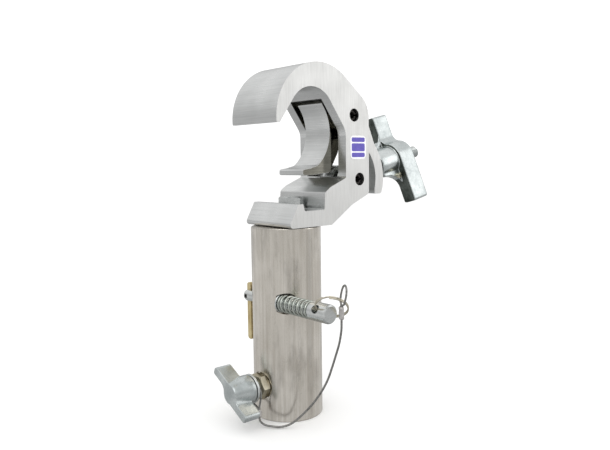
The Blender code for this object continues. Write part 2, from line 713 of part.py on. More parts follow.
def eye_loop(name, foot, up, across, half):
    """A closed loop of wire, mirrored about the line that runs up from its foot."""
    ring_points = list(half) + [(-x, y) for x, y in reversed(half[:-1])]
    count = len(ring_points)
    points = []
    for i in range(count):
        a, b, c, d = (Vector(ring_points[(i + k - 1) % count]) for k in range(4))
        for step in range(4):
            t = step / 4.0
            flat = 0.5 * (2 * b + (c - a) * t + (2 * a - 5 * b + 4 * c - d) * t ** 2
                          + (3 * b - a - 3 * c + d) * t ** 3)
            points.append(foot + across * flat.x + up * flat.y)
    return wire(name, points, LANYARD_RADIUS * 0.9, True)


def lanyard():
    rope = wire("lanyard_wire", smooth_route(LANYARD_ROUTE, 2.4), LANYARD_RADIUS)
    place(rope, DATUM)
    finish_part(rope, (0.22, 0.22, 0.22), 0.45)
    for name, top, foot, side, half in LANYARD_ENDS:
        axis = Vector(foot) - Vector(top)
        sleeve = cylinder(name + "_ferrule", 1.7, 0.0, axis.length, "Z", sides=16)
        place(sleeve, DATUM, top, axis.to_track_quat("Z", "Y").to_euler())
        finish_part(sleeve, (0.66, 0.62, 0.60), 0.35)
        loop_up = LOOP_UP[name]
        across = Vector(side)
        across = (across - across.project(loop_up)).normalized()
        loop = eye_loop(name + "_loop", Vector(top) + loop_up * (GAP + LANYARD_RADIUS), loop_up, across, half)
        place(loop, DATUM)
        finish_part(loop, (0.22, 0.22, 0.22), 0.45)


# ---------------------------------------------------------------- assembly

clear_scene()
PARTS = new_collection("trigger_clamp")
CUTTERS = new_collection("cutters")

DATUM = empty("barrel_datum", (-TUBE_AXIS[0], 0.0, -TUBE_AXIS[1]))
TRIGGER_FRAME = empty("trigger_axis", (UPPER_PIN[0], 0.0, UPPER_PIN[1]), DATUM)
SWING_FRAME = empty("swing_bolt_axis", (LOWER_PIN[0], 0.0, LOWER_PIN[1]), DATUM, (0.0, -BOLT_TILT, 0.0))
NUT_SLIDE_FRAME = empty("nut_slide_axis", (0.0, 0.0, 0.0), SWING_FRAME)
WING_NUT_FRAME = empty("wing_nut_axis", (0.0, 0.0, 0.0), NUT_SLIDE_FRAME)
DROP_PIN_FRAME = empty("drop_pin_axis", (DROP_PIN_X, 0.0, DROP_PIN_Z), DATUM)
TOGGLE_FRAME = empty("toggle_axis", (0.0, TOGGLE_Y, 0.0), DROP_PIN_FRAME)
WING_BOLT_SLIDE_FRAME = empty("wing_bolt_slide_axis", (0.0, 0.0, WING_BOLT_Z), DATUM)
WING_BOLT_FRAME = empty("wing_bolt_axis", (0.0, 0.0, 0.0), WING_BOLT_SLIDE_FRAME)

hook_body()
roll_pin("trigger_pivot_pin", UPPER_PIN)
roll_pin("swing_bolt_pivot_pin", LOWER_PIN)
side_label()
pivot_sleeves()
torsion_spring()
trigger()
swing_bolt()
thrust_washer()
wing_nut()
barrel()
barrel_fixings()
drop_pin()
toggle_set()
pin_spring_set()
split_ring()
wing_bolt_set()
lanyard()
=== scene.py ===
"""Looks of the trigger hook clamp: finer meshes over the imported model, metals, light and camera.

Shapes are built in millimetres from the barrel's datum (on its axis, at the underside of the hook's
base), with +Z up and the clamped tube along Y, and are then put into the row frame in metres.
"""
import json
import math

import bmesh
import bpy
from mathutils import Euler, Matrix, Vector


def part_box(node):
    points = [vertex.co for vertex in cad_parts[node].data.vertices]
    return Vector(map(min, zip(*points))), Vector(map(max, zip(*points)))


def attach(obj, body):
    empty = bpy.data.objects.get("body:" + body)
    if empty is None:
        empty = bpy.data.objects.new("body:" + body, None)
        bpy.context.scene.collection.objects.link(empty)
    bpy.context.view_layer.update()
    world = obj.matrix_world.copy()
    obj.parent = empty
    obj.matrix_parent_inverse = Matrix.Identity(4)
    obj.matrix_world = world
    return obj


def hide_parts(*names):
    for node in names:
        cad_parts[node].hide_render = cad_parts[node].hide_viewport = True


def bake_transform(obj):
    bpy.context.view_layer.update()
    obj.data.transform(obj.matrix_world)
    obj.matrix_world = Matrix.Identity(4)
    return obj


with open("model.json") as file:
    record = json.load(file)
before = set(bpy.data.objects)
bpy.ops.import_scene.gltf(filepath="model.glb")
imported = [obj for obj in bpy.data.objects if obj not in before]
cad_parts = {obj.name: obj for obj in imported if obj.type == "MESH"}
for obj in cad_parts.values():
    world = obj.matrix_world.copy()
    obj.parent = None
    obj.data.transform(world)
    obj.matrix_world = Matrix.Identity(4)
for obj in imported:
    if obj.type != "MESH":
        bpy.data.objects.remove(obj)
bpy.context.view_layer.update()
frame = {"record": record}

MM = 0.001
JOINTS = {joint["name"]: joint for joint in frame["record"]["behaviour"]["joints"]}

# -------- places taken from the frame

barrel_low, barrel_high = (Vector(corner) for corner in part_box("barrel"))
hook_low, hook_high = (Vector(corner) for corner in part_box("hook_body"))
FLOOR_Z = barrel_low.z
DATUM = Vector(((barrel_low.x + barrel_high.x) / 2.0, (barrel_low.y + barrel_high.y) / 2.0, hook_low.z))
TO_ROW = Matrix.Translation(DATUM) @ Matrix.Scale(MM, 4)


def in_datum(point):
    """A row-frame point in metres as millimetres from the datum."""
    return (Vector(point) - DATUM) / MM


UPPER_PIN = in_datum(JOINTS["trigger_turn"]["pos_m"])
LOWER_PIN = in_datum(JOINTS["swing_bolt_swing"]["pos_m"])
BOLT_AXIS = Vector(JOINTS["wing_nut_spin"]["axis"])
BOLT_TILT = math.atan2(BOLT_AXIS.z, BOLT_AXIS.x)
TOGGLE_AXIS = in_datum(JOINTS["toggle_turn"]["pos_m"])
WING_BOLT_AXIS = in_datum(JOINTS["wing_bolt_spin"]["pos_m"])
UPPER_XZ = (UPPER_PIN.x, UPPER_PIN.z)
LOWER_XZ = (LOWER_PIN.x, LOWER_PIN.z)

ON_BOLT = TO_ROW @ Matrix.Translation(LOWER_PIN) @ Matrix.Rotation(-BOLT_TILT, 4, "Y")
ON_DROP_PIN = TO_ROW @ Matrix.Translation((TOGGLE_AXIS.x, 0.0, TOGGLE_AXIS.z))
ON_TOGGLE = TO_ROW @ Matrix.Translation(TOGGLE_AXIS)
ON_WING_BOLT = TO_ROW @ Matrix.Translation((0.0, 0.0, WING_BOLT_AXIS.z))

# -------- driving sizes, in millimetres

WIDTH = (hook_high.y - hook_low.y) / MM
SLOT_WIDTH = 27.2
# Where the trigger comes out of the hook's slot, along X
SLOT_REACH = 47.5
PIN_BORE = 3.75
BASE_FLOOR = 9.0
TRIGGER_WIDTH = 21.0
ARM_OUTER, ARM_INNER = 30.9, 23.9
SADDLE_RADIUS = 24.0
# How the two pairs of wings stand at rest, round their own bolts
WING_TURN = math.radians(-14.2)
WING_BOLT_TURN = math.radians(-61.7)
BARREL_RADIUS = (barrel_high.x - barrel_low.x) / MM / 2.0
BARREL_BORE = 14.5
BARREL_LENGTH = (DATUM.z - barrel_low.z) / MM
# Thickness of the barrel's solid top
BARREL_WEB = 22.0
# The barrel's bolt stands off the barrel's axis, along X
BOLT_X = 4.5
M8_RADIUS, M8_PITCH, M8_FLATS = 3.95, 1.25, 13.0
# Clearance holes for M8, in the fittings and in the barrel, and for the locking pin
M8_BORE, BARREL_M8_BORE, LOCKING_PIN_BORE = 4.2, 4.3, 3.8
LANYARD_RADIUS = 0.6
LANYARD_LAY = 9.0

# -------- camera

def add(name, data):
    """A new object in the scene."""
    obj = bpy.data.objects.new(name, data)
    bpy.context.scene.collection.objects.link(obj)
    return obj


LENS, SENSOR = 38.31, 36.0
# From the datum in millimetres, and in degrees
CAMERA_PLACE, CAMERA_TURN = (-235.1, -286.8, 36.1), (84.408, 0.739, -41.121)

camera_data = bpy.data.cameras.new("camera")
camera_data.sensor_width = SENSOR
camera_data.lens = LENS
camera = add("camera", camera_data)
camera.location = DATUM + Vector(CAMERA_PLACE) * MM
camera.rotation_euler = Euler([math.radians(angle) for angle in CAMERA_TURN])
bpy.context.scene.camera = camera


# -------- outlines

def polar(radius, angle):
    return (radius * math.cos(angle), radius * math.sin(angle))


def arc(centre, radius, start, end, steps):
    """Points of an arc, angles in degrees."""
    points = []
    for i in range(steps + 1):
        angle = math.radians(start + (end - start) * i / steps)
        points.append((centre[0] + radius * math.cos(angle), centre[1] + radius * math.sin(angle)))
    return points


def corner(before, point, after, radius, steps=8):
    """The corner at point, rounded to a radius between its two neighbours."""
    here = Vector(point)
    to_before = (Vector(before) - here).normalized()
    to_after = (Vector(after) - here).normalized()
    half = to_before.angle(to_after) / 2.0
    middle = (to_before + to_after).normalized()
    centre = here + middle * (radius / math.sin(half))
    first = here + to_before * (radius / math.tan(half)) - centre
    last = here + to_after * (radius / math.tan(half)) - centre
    turn_by = first.angle_signed(last)
    points = []
    for i in range(steps + 1):
        step = first.copy()
        step.rotate(Matrix.Rotation(-turn_by * i / steps, 2))
        points.append((centre.x + step.x, centre.y + step.y))
    return points


def rounded(corners):
    """A closed outline from (x, z, radius) corners."""
    points = []
    for i, (x, z, radius) in enumerate(corners):
        before = corners[i - 1][:2]
        after = corners[(i + 1) % len(corners)][:2]
        points.extend(corner(before, (x, z), after, radius, 6) if radius else [(x, z)])
    return points


def smooth_line(route, per_span, closed=False):
    """Points on a smooth curve through the route's own points."""
    knots = [Vector(point) for point in route]
    if closed:
        knots = [knots[-1]] + knots + knots[:2]
    else:
        knots = [2 * knots[0] - knots[1]] + knots + [2 * knots[-1] - knots[-2]]
    points = []
    for a, b, c, d in zip(knots, knots[1:], knots[2:], knots[3:]):
        for i in range(per_span):
            t = i / per_span
            points.append(0.5 * (2 * b + (c - a) * t + (2 * a - 5 * b + 4 * c - d) * t ** 2
                                 + (3 * b - a - 3 * c + d) * t ** 3))
    if not closed:
        points.append(knots[-2])
    return points


def length_of(points):
    return sum((q - p).length for p, q in zip(points, points[1:]))


def evenly(points, count):
    """The same line read at evenly spaced places."""
    length = length_of(points)
    spaced, walked = [points[0]], 0.0
    for p, q in zip(points, points[1:]):
        step = (q - p).length
        while len(spaced) < count - 1 and walked + step >= length * len(spaced) / (count - 1):
            spaced.append(p.lerp(q, (length * len(spaced) / (count - 1) - walked) / step))
        walked += step
    return spaced + [points[-1]]


# -------- mesh making

def new_solid(name, verts, faces):
    mesh = bpy.data.meshes.new(name)
    mesh.from_pydata([tuple(v) for v in verts], [], faces)
    shape = bmesh.new()
    shape.from_mesh(mesh)
    bmesh.ops.remove_doubles(shape, verts=shape.verts, dist=1e-5)
    bmesh.ops.recalc_face_normals(shape, faces=shape.faces)
    shape.to_mesh(mesh)
    shape.free()
    return add(name, mesh)


def skin(rings):
    """Faces from each ring of vertex numbers to the next."""
    return [[a[k], a[(k + 1) % len(a)], b[(k + 1) % len(a)], b[k]]
            for a, b in zip(rings, rings[1:]) for k in range(len(a))]


def prism(name, outline, low, high):
    """An outline in X and Z pushed out along Y."""
    count = len(outline)
    verts = [(x, low, z) for x, z in outline] + [(x, high, z) for x, z in outline]
    faces = [list(range(count)), list(range(2 * count - 1, count - 1, -1))]
    for i in range(count):
        j = (i + 1) % count
        faces.append([i, i + count, j + count, j])
    return new_solid(name, verts, faces)


AXES = {
    "X": Matrix(((0, 0, 1), (1, 0, 0), (0, 1, 0))),
    "Y": Matrix(((0, 1, 0), (0, 0, 1), (1, 0, 0))),
    "Z": Matrix.Identity(3),
}


def beside(axis, across):
    """A shift square to an axis."""
    return Vector({"X": (0.0, *across), "Y": (across[0], 0.0, across[1]), "Z": (*across, 0.0)}[axis])


def turned(name, profile, axis="Z", across=(0.0, 0.0), steps=72, closed=False):
    """A turned solid from (radius, place along the axis) points; across gives its other two places."""
    verts, rings = [], []
    for radius, along in profile:
        count = steps if radius > 0.0 else 1
        rings.append(list(range(len(verts), len(verts) + count)))
        verts += [Vector((*polar(radius, 2.0 * math.pi * i / steps), along)) for i in range(count)]
    if closed:
        rings.append(rings[0])
    faces = []
    for a, b in zip(rings, rings[1:]):
        for i in range(steps):
            j = (i + 1) % steps
            face = [a[i % len(a)], a[j % len(a)], b[j % len(b)], b[i % len(b)]]
            faces.append(list(dict.fromkeys(face)))
    faces = [face for face in faces if len(face) > 2]
    return new_solid(name, [AXES[axis] @ v + beside(axis, across) for v in verts], faces)


def ring(name, outer, inner, low, high, axis, across=(0.0, 0.0), chamfer=0.3):
    """A washer or sleeve with broken edges."""
    profile = [
        (inner + chamfer, high), (outer - chamfer, high), (outer, high - chamfer), (outer, low + chamfer),
        (outer - chamfer, low), (inner + chamfer, low), (inner, low + chamfer), (inner, high - chamfer),
    ]
    return turned(name, profile, axis, across, 56, closed=True)


def rod(name, radius, low, high, axis="Z", across=(0.0, 0.0), steps=48):
    return turned(name, [(0.0, high), (radius, high), (radius, low), (0.0, low)], axis, across, steps)


def sweep(name, points, section, closed=False, twist=0.0):
    """A solid along a line of points. section is an outline of (across, up) places round the line."""
    count = len(points)
    tangents = []
    for i in range(count):
        before = points[i - 1] if closed or i else points[0]
        after = points[(i + 1) % count] if closed or i < count - 1 else points[-1]
        tangents.append((after - before).normalized())
    side = tangents[0].orthogonal().normalized()
    sides = [side]
    for a, b in zip(tangents, tangents[1:]):
        side = a.rotation_difference(b) @ side
        side = (side - side.project(b)).normalized()
        sides.append(side)
    drift = 0.0
    if closed:
        last = tangents[-1].rotation_difference(tangents[0]) @ sides[-1]
        drift = last.angle(sides[0]) * (1.0 if last.cross(sides[0]).dot(tangents[0]) > 0.0 else -1.0)
    verts, rings = [], []
    for i in range(count):
        turn_by = Matrix.Rotation((twist + drift) * i / count, 3, tangents[i])
        across = turn_by @ sides[i]
        up = tangents[i].cross(across)
        rings.append(list(range(len(verts), len(verts) + len(section))))
        verts += [points[i] + across * x + up * y for x, y in section]
    faces = skin(rings + rings[:1]) if closed else skin(rings) + [rings[0][::-1], rings[-1]]
    return new_solid(name, verts, faces)


def circle_section(radius, sides):
    return [polar(radius, 2 * math.pi * k / sides) for k in range(sides)]


def thread(name, radius, low, high, axis, chamfer):
    """A threaded rod with a real helical M8 thread and chamfered ends."""
    depth, sides, per_turn = 0.61 * M8_PITCH, 36, 10
    count = round((high - low) / M8_PITCH * per_turn)
    verts, rings = [(0.0, 0.0, low)], []
    for i in range(count + 1):
        along = low + (high - low) * i / count
        limit = radius - max(0.0, chamfer - (along - low), chamfer - (high - along))
        rings.append(list(range(len(verts), len(verts) + sides)))
        for k in range(sides):
            phase = (along / M8_PITCH - k / sides) % 1.0
            height = min(1.0, max(0.0, 1.25 * abs(2.0 * phase - 1.0) - 0.1))
            here = min(radius - depth * height, limit)
            verts.append((*polar(here, 2.0 * math.pi * k / sides), along))
    verts.append((0.0, 0.0, high))
    faces = skin(rings)
    for k in range(sides):
        faces.append([0, rings[0][(k + 1) % sides], rings[0][k]])
        faces.append([len(verts) - 1, rings[-1][k], rings[-1][(k + 1) % sides]])
    return new_solid(name, [AXES[axis] @ Vector(v) for v in verts], faces)


def bake(obj):
    """Apply every modifier."""
    bpy.context.view_layer.update()
    graph = bpy.context.evaluated_depsgraph_get()
    mesh = bpy.data.meshes.new_from_object(obj.evaluated_get(graph))
    obj.modifiers.clear()
    obj.data = mesh


def combine(obj, operation, *tools):
    for tool in tools:
        modifier = obj.modifiers.new("combine", "BOOLEAN")
        modifier.operation = operation
        modifier.solver = "EXACT"
        modifier.object = tool
        bake(obj)
        bpy.data.objects.remove(tool, do_unlink=True)


def cut(obj, *tools):
    combine(obj, "DIFFERENCE", *tools)


def join(obj, *tools):
    combine(obj, "UNION", *tools)


def break_edges(obj, width, segments=2, angle=28.0):
    """A small bevel on every sharp edge."""
    modifier = obj.modifiers.new("edges", "BEVEL")
    modifier.width = width
    modifier.segments = segments
    modifier.limit_method = "ANGLE"
    modifier.angle_limit = math.radians(angle)
    modifier.miter_outer = "MITER_ARC"
    bake(obj)


def cast(obj, voxel, rounds):
    """Run the corners together as a casting's are."""
    remesh = obj.modifiers.new("cast", "REMESH")
    remesh.mode = "VOXEL"
    remesh.voxel_size = voxel
    soften = obj.modifiers.new("soften", "SMOOTH")
    soften.factor = 0.6
    soften.iterations = rounds
    bake(obj)


def settle(obj, matrix, body, piece, materials, choose=None, smooth_angle=30.0):
    """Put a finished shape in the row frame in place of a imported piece, painted and tied to its body.

    choose gives each face the number of its material in materials.
    """
    obj.data.transform(matrix)
    obj.data.materials.clear()
    for material in materials:
        obj.data.materials.append(material)
    for face in obj.data.polygons:
        face.material_index = choose(face) if choose else 0
    obj.data.shade_smooth()
    obj.data.set_sharp_from_angle(angle=math.radians(smooth_angle))
    weigh = obj.modifiers.new("weigh", "WEIGHTED_NORMAL")
    weigh.keep_sharp = True
    bake(obj)
    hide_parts(piece)
    if body:
        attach(obj, body)


# -------- materials

def node(tree, kind, **values):
    made = tree.nodes.new(kind)
    for key, value in values.items():
        setattr(made, key, value)
    return made


def stretched(tree, places, cells):
    """Places scaled so that one unit is a noise's cell; cells per metre along X, Y and Z."""
    made = node(tree, "ShaderNodeMapping")
    made.inputs["Scale"].default_value = cells
    tree.links.new(places, made.inputs["Vector"])
    return made.outputs["Vector"]


def noise(tree, places, scale, detail, roughness=0.5):
    made = node(tree, "ShaderNodeTexNoise")
    for name, value in (("Scale", scale), ("Detail", detail), ("Roughness", roughness)):
        made.inputs[name].default_value = value
    tree.links.new(places, made.inputs["Vector"])
    return made.outputs["Fac"]


def remapped(tree, socket, low, high, to_low=0.0, to_high=1.0, **values):
    """What lies between low and high spread over to_low to to_high."""
    made = node(tree, "ShaderNodeMapRange", **values)
    for name, value in (("From Min", low), ("From Max", high), ("To Min", to_low), ("To Max", to_high)):
        made.inputs[name].default_value = value
    tree.links.new(socket, made.inputs["Value"])
    return made.outputs["Result"]


def mixed(tree, kind, factor, a, b):
    """A mix of two values or colours; each of factor, a and b is a socket or a plain value."""
    made = node(tree, "ShaderNodeMix", data_type=kind)
    for name, value in (("Factor", factor), ("A", a), ("B", b)):
        if isinstance(value, bpy.types.NodeSocket):
            tree.links.new(value, made.inputs[name])
        else:
            made.inputs[name].default_value = value
    return made.outputs["Result"]


# Cells per metre of the pits on a speckled finish, and of the dark runs stretched along Z
PIT_GRAIN, RUN_GRAIN = 1500.0, (95.0, 95.0, 26.0)
# How much darker than the dark colour pits and runs are
PIT_SHADE, RUN_DARKENING = 0.45, 0.4
BUMP_HEIGHT = 0.0001


def new_material(name):
    """A material with its node tree and its shader."""
    material = bpy.data.materials.new(name)
    material.use_nodes = True
    return material, material.node_tree, material.node_tree.nodes["Principled BSDF"]


def surface(name, dark, light, metallic, roughness, grain, grain_bump, patches, patch_share=0.5,
            speckle=0.0, coat=0.0, streaks=0.0):
    """A procedural finish.

    It varies between the colours dark and light, and between the two roughnesses. grain is the fine noise's
    cells per metre along X, Y and Z, grain_bump its relief, patches the broad noise's cells per metre and
    patch_share its part in the whole. speckle and streaks are how strongly dark pits and dark runs show.
    """
    material, tree, shader = new_material(name)
    shader.inputs["Metallic"].default_value = metallic
    shader.inputs["Coat Weight"].default_value = coat
    places = node(tree, "ShaderNodeTexCoord").outputs["Object"]
    lines = noise(tree, stretched(tree, places, grain), 1.0, 5.0, 0.62)
    share = mixed(tree, "FLOAT", patch_share, lines, noise(tree, places, patches, 3.0))
    colour = mixed(tree, "RGBA", remapped(tree, share, 0.34, 0.66), (*dark, 1.0), (*light, 1.0))
    if speckle:
        pits = remapped(tree, noise(tree, places, PIT_GRAIN, 2.0), 0.62, 0.72, 0.0, speckle)
        colour = mixed(tree, "RGBA", pits, colour, (*[c * PIT_SHADE for c in dark], 1.0))
    if streaks:
        runs = noise(tree, stretched(tree, places, RUN_GRAIN), 1.0, 4.0, 0.55)
        colour = mixed(tree, "RGBA", remapped(tree, runs, 0.50, 0.68, 0.0, streaks), colour,
                       (*[c * RUN_DARKENING for c in dark], 1.0))
    tree.links.new(colour, shader.inputs["Base Color"])
    smoothest, roughest = roughness
    tree.links.new(remapped(tree, share, 0.3, 0.7, roughest, smoothest), shader.inputs["Roughness"])
    bump = node(tree, "ShaderNodeBump")
    bump.inputs["Strength"].default_value = grain_bump
    bump.inputs["Distance"].default_value = BUMP_HEIGHT
    tree.links.new(lines, bump.inputs["Height"])
    tree.links.new(bump.outputs["Normal"], shader.inputs["Normal"])
    return material


SAWN = surface("sawn_aluminium", (0.74, 0.74, 0.725), (0.88, 0.88, 0.865), 0.9, (0.34, 0.52),
               (1500.0, 300.0, 60.0), 0.35, 60.0, 0.35)
DRAWN = surface("extruded_aluminium", (0.60, 0.61, 0.605), (0.80, 0.81, 0.805), 1.0, (0.22, 0.38),
                (2200.0, 30.0, 2200.0), 0.22, 45.0, 0.5)
# Milled aluminium for the sides inside the hook's slot: its dark colour is painted shade of the slot
MILLED_PAINTED_SHADE = surface("milled_aluminium_painted_slot_shade", (0.20, 0.195, 0.165), (0.40, 0.39, 0.34), 1.0, (0.10, 0.22),
                 (60.0, 300.0, 1500.0), 0.12, 55.0, 0.5)
# Broken edges: brighter than the sawn sides, partly as edge wear and partly as a painted highlight
EDGE_WEAR_AND_HIGHLIGHT = surface("broken_edge_wear_and_painted_highlight", (0.82, 0.82, 0.81), (0.92, 0.92, 0.91), 1.0, (0.2, 0.34),
               (900.0, 900.0, 900.0), 0.1, 200.0)
BARREL = surface("turned_aluminium_barrel", (0.56, 0.52, 0.455), (0.86, 0.82, 0.755), 1.0, (0.17, 0.34),
                 (520.0, 520.0, 14.0), 0.10, 38.0, 0.45, speckle=0.25, streaks=0.5)
BORE = surface("bored_aluminium", (0.50, 0.49, 0.47), (0.66, 0.65, 0.63), 1.0, (0.35, 0.5),
               (60.0, 60.0, 2500.0), 0.4, 90.0)
ZINC_CAST = surface("zinc_plated_casting", (0.46, 0.50, 0.50), (0.72, 0.76, 0.755), 1.0, (0.20, 0.34),
                    (700.0, 700.0, 700.0), 0.14, 85.0, 0.65, speckle=0.25)
# Painted shade: a near-black zinc for the wing nut's faces that look back along the swing bolt towards the
# hook
ZINC_PAINTED_SHADE = surface("zinc_casting_painted_shade", (0.035, 0.042, 0.036), (0.16, 0.18, 0.165), 1.0, (0.28, 0.44),
                    (500.0, 500.0, 500.0), 0.14, 120.0, 0.6)
ZINC = surface("zinc_plated_steel", (0.56, 0.58, 0.575), (0.78, 0.80, 0.79), 1.0, (0.2, 0.34),
               (300.0, 1400.0, 1400.0), 0.12, 120.0)
ZINC_WIRE = surface("zinc_plated_spring_wire", (0.40, 0.43, 0.39), (0.68, 0.71, 0.66), 1.0, (0.14, 0.26),
                    (500.0, 500.0, 500.0), 0.08, 240.0)
YELLOW_ZINC = surface("yellow_zinc", (0.55, 0.43, 0.20), (0.80, 0.69, 0.42), 0.9, (0.34, 0.5),
                      (400.0, 1500.0, 300.0), 0.2, 130.0)
PALE_ZINC = surface("pale_yellow_zinc", (0.52, 0.48, 0.36), (0.78, 0.74, 0.60), 1.0, (0.24, 0.38),
                    (900.0, 900.0, 900.0), 0.12, 190.0)
BLACK_STEEL = surface("black_spring_steel", (0.020, 0.018, 0.017), (0.075, 0.068, 0.062), 0.8, (0.32, 0.5),
                      (900.0, 120.0, 900.0), 0.2, 400.0)
NYLON = surface("nylon", (0.70, 0.69, 0.64), (0.82, 0.81, 0.77), 0.0, (0.4, 0.55),
                (600.0, 600.0, 600.0), 0.06, 150.0)
ROPE = surface("steel_rope", (0.13, 0.128, 0.122), (0.46, 0.455, 0.44), 0.9, (0.34, 0.5),
               (2600.0, 2600.0, 2600.0), 0.3, 900.0)
FERRULE = surface("crimped_ferrule", (0.50, 0.48, 0.465), (0.78, 0.75, 0.73), 1.0, (0.26, 0.42),
                  (1600.0, 1600.0, 900.0), 0.35, 500.0)
RING = surface("split_ring_steel", (0.50, 0.45, 0.34), (0.84, 0.80, 0.70), 1.0, (0.18, 0.3),
               (900.0, 900.0, 900.0), 0.1, 350.0)
LABEL_BLUE = surface("label_blue", (0.075, 0.055, 0.36), (0.105, 0.08, 0.44), 0.0, (0.38, 0.46),
                     (900.0, 900.0, 900.0), 0.05, 300.0, coat=0.3)
LABEL_WHITE = surface("label_white", (0.80, 0.80, 0.82), (0.88, 0.88, 0.90), 0.0, (0.38, 0.46),
                      (900.0, 900.0, 900.0), 0.05, 300.0, coat=0.3)


def flat_or_round(face):
    """0 on the sawn sides, 1 on the extruded outside, 2 on the narrow broken edges (edge wear with a painted
    highlight), 3 on the sides inside the slot (painted shade).
    """
    across = abs(face.normal.y)
    if across > 0.98:
        return 3 if abs(face.center.y) < (SLOT_WIDTH / 2.0 + 1.0) * MM else 0
    return 1 if across < 0.02 else 2


def jaw_face(face):
    """As flat_or_round, with the milled finish and its painted shade only where the sides turn inside the
    hook's slot.
    """
    kind = flat_or_round(face)
    if kind == 3 and face.center.x > (TO_ROW @ Vector((SLOT_REACH, 0.0, 0.0))).x:
        return 0
    return kind


# -------- hook body

def hook_outline():
    """The extrusion's section, from the hook's tip over its back, down and round to the lip."""
    outer_centre, outer_radius = (9.5, 59.4), 31.0
    shoulder_centre, shoulder_radius = (32.8, 61.1), 15.4
    apex, half = (3.7, 88.2), math.radians(36.1)
    top_radius = 16.4
    top_centre = (apex[0], apex[1] - top_radius / math.sin(half))
    lip_z, spine_x, rear_x = 56.8, 29.1, 48.2

    def flank_x(z):
        return (apex[1] - z) * math.tan(half)

    flank_end = apex[1] - (spine_x - apex[0]) / math.tan(half)
    outline = arc(outer_centre, outer_radius, 184.8, 52.0, 72)
    outline += arc(shoulder_centre, shoulder_radius, 52.0, 0.0, 20)
    corners = [
        (rear_x, 61.1, 0.0), (rear_x, 16.7, 3.0), (34.1, 10.7, 8.0), (17.6, 0.0, 1.5), (-14.4, 0.0, 2.0),
        (-7.3, 12.9, 0.4), (-3.7, 12.9, 0.4), (-2.7, BASE_FLOOR, 0.5), (11.9, BASE_FLOOR, 0.5),
        (12.7, 18.8, 2.0), (17.0, 21.6, 3.0), (spine_x, 26.4, 1.5), (spine_x, flank_end, 10.0),
        (apex[0] + flank_x(70.0), 70.0, 0.0),
    ]
    for before, here, after in zip(corners, corners[1:], corners[2:]):
        outline += corner(before[:2], here[:2], after[:2], here[2])
    outline += arc(top_centre, top_radius, math.degrees(half), 180.0 - math.degrees(half), 40)
    outline.append((apex[0] - flank_x(lip_z), lip_z))
    return outline


def slot_outline():
    """The slot through the spine, open as far as the swing bolt needs to swing down by 60 degrees."""
    clear = 8.8
    swing = BOLT_TILT - math.radians(60.0)
    lower = Vector(LOWER_XZ)
    along = Vector((math.cos(swing), math.sin(swing)))
    below = Vector((along.y, -along.x)) * 4.5
    outline = [(10.0, 27.0), (10.0, 71.2)] + arc(UPPER_XZ, clear, 90.0, 70.0, 6)
    outline += [(52.0, 67.0), (66.0, 67.0), tuple(lower + below + along * 40.0),
                tuple(lower + below + along * 7.7)]
    return outline + arc(LOWER_XZ, clear, -80.0, -190.0, 30)


def make_hook():
    half = WIDTH / 2.0
    body = prism("hook", hook_outline(), -half, half)
    slot = prism("slot_tool", slot_outline(), -SLOT_WIDTH / 2.0, SLOT_WIDTH / 2.0)
    bores = [rod("bore_tool", PIN_BORE, -half - 2.0, half + 2.0, "Y", at) for at in (UPPER_XZ, LOWER_XZ)]
    hole = rod("hole_tool", M8_BORE, -3.0, BASE_FLOOR + 3.0, "Z", (BOLT_X, 0.0))
    cut(body, slot, *bores, hole)
    break_edges(body, 0.35)
    settle(body, TO_ROW, "hook", "hook_body", [SAWN, DRAWN, EDGE_WEAR_AND_HIGHLIGHT, MILLED_PAINTED_SHADE], flat_or_round)


def roll_pin(name, outer, inner, low, high, axis, across, matrix, body, piece, material):
    """A hollow spring pin: a rolled wall with a slit down one side."""
    slit, chamfer = 9.0, 0.5
    mouth = arc((0.0, 0.0), outer, slit, 360.0 - slit, 44)
    inside = arc((0.0, 0.0), inner, 360.0 - 1.8 * slit, 1.8 * slit, 36)
    pin = prism(name, mouth + inside, low, high)
    for vertex in pin.data.vertices:
        place = vertex.co
        if math.hypot(place.x, place.z) > (outer + inner) / 2.0:
            shrink = (outer - chamfer) / outer
            if place.y in (low, high):
                vertex.co = (place.x * shrink, place.y, place.z * shrink)
    if axis == "X":
        pin.data.transform(Matrix.Rotation(math.pi / 2.0, 4, "Z"))
    pin.data.transform(Matrix.Translation(beside(axis, across)))
    break_edges(pin, 0.12)
    settle(pin, matrix, body, piece, [material])


def make_pivots():
    for name, at in (("trigger_pivot_pin", UPPER_XZ), ("swing_bolt_pivot_pin", LOWER_XZ)):
        roll_pin(name.replace("pin", "roll_pin"), PIN_BORE - 0.2, 1.95, -18.0, 18.0, "Y", at, TO_ROW,
                 "hook", name, BLACK_STEEL)
    inside = SLOT_WIDTH / 2.0 - 0.2
    near = TRIGGER_WIDTH / 2.0 + 0.2
    for side, low, high in (("near", -inside, -near), ("far", near, inside)):
        washer = ring("trigger_spacer_" + side, 7.0, PIN_BORE, low, high, "Y", UPPER_XZ)
        settle(washer, TO_ROW, "hook", "trigger_washer_" + side, [NYLON])
    sleeve = ring("bolt_eye_spacer", 6.0, PIN_BORE, 4.7, inside, "Y", LOWER_XZ, 0.4)
    settle(sleeve, TO_ROW, "hook", "swing_bolt_sleeve", [ZINC])


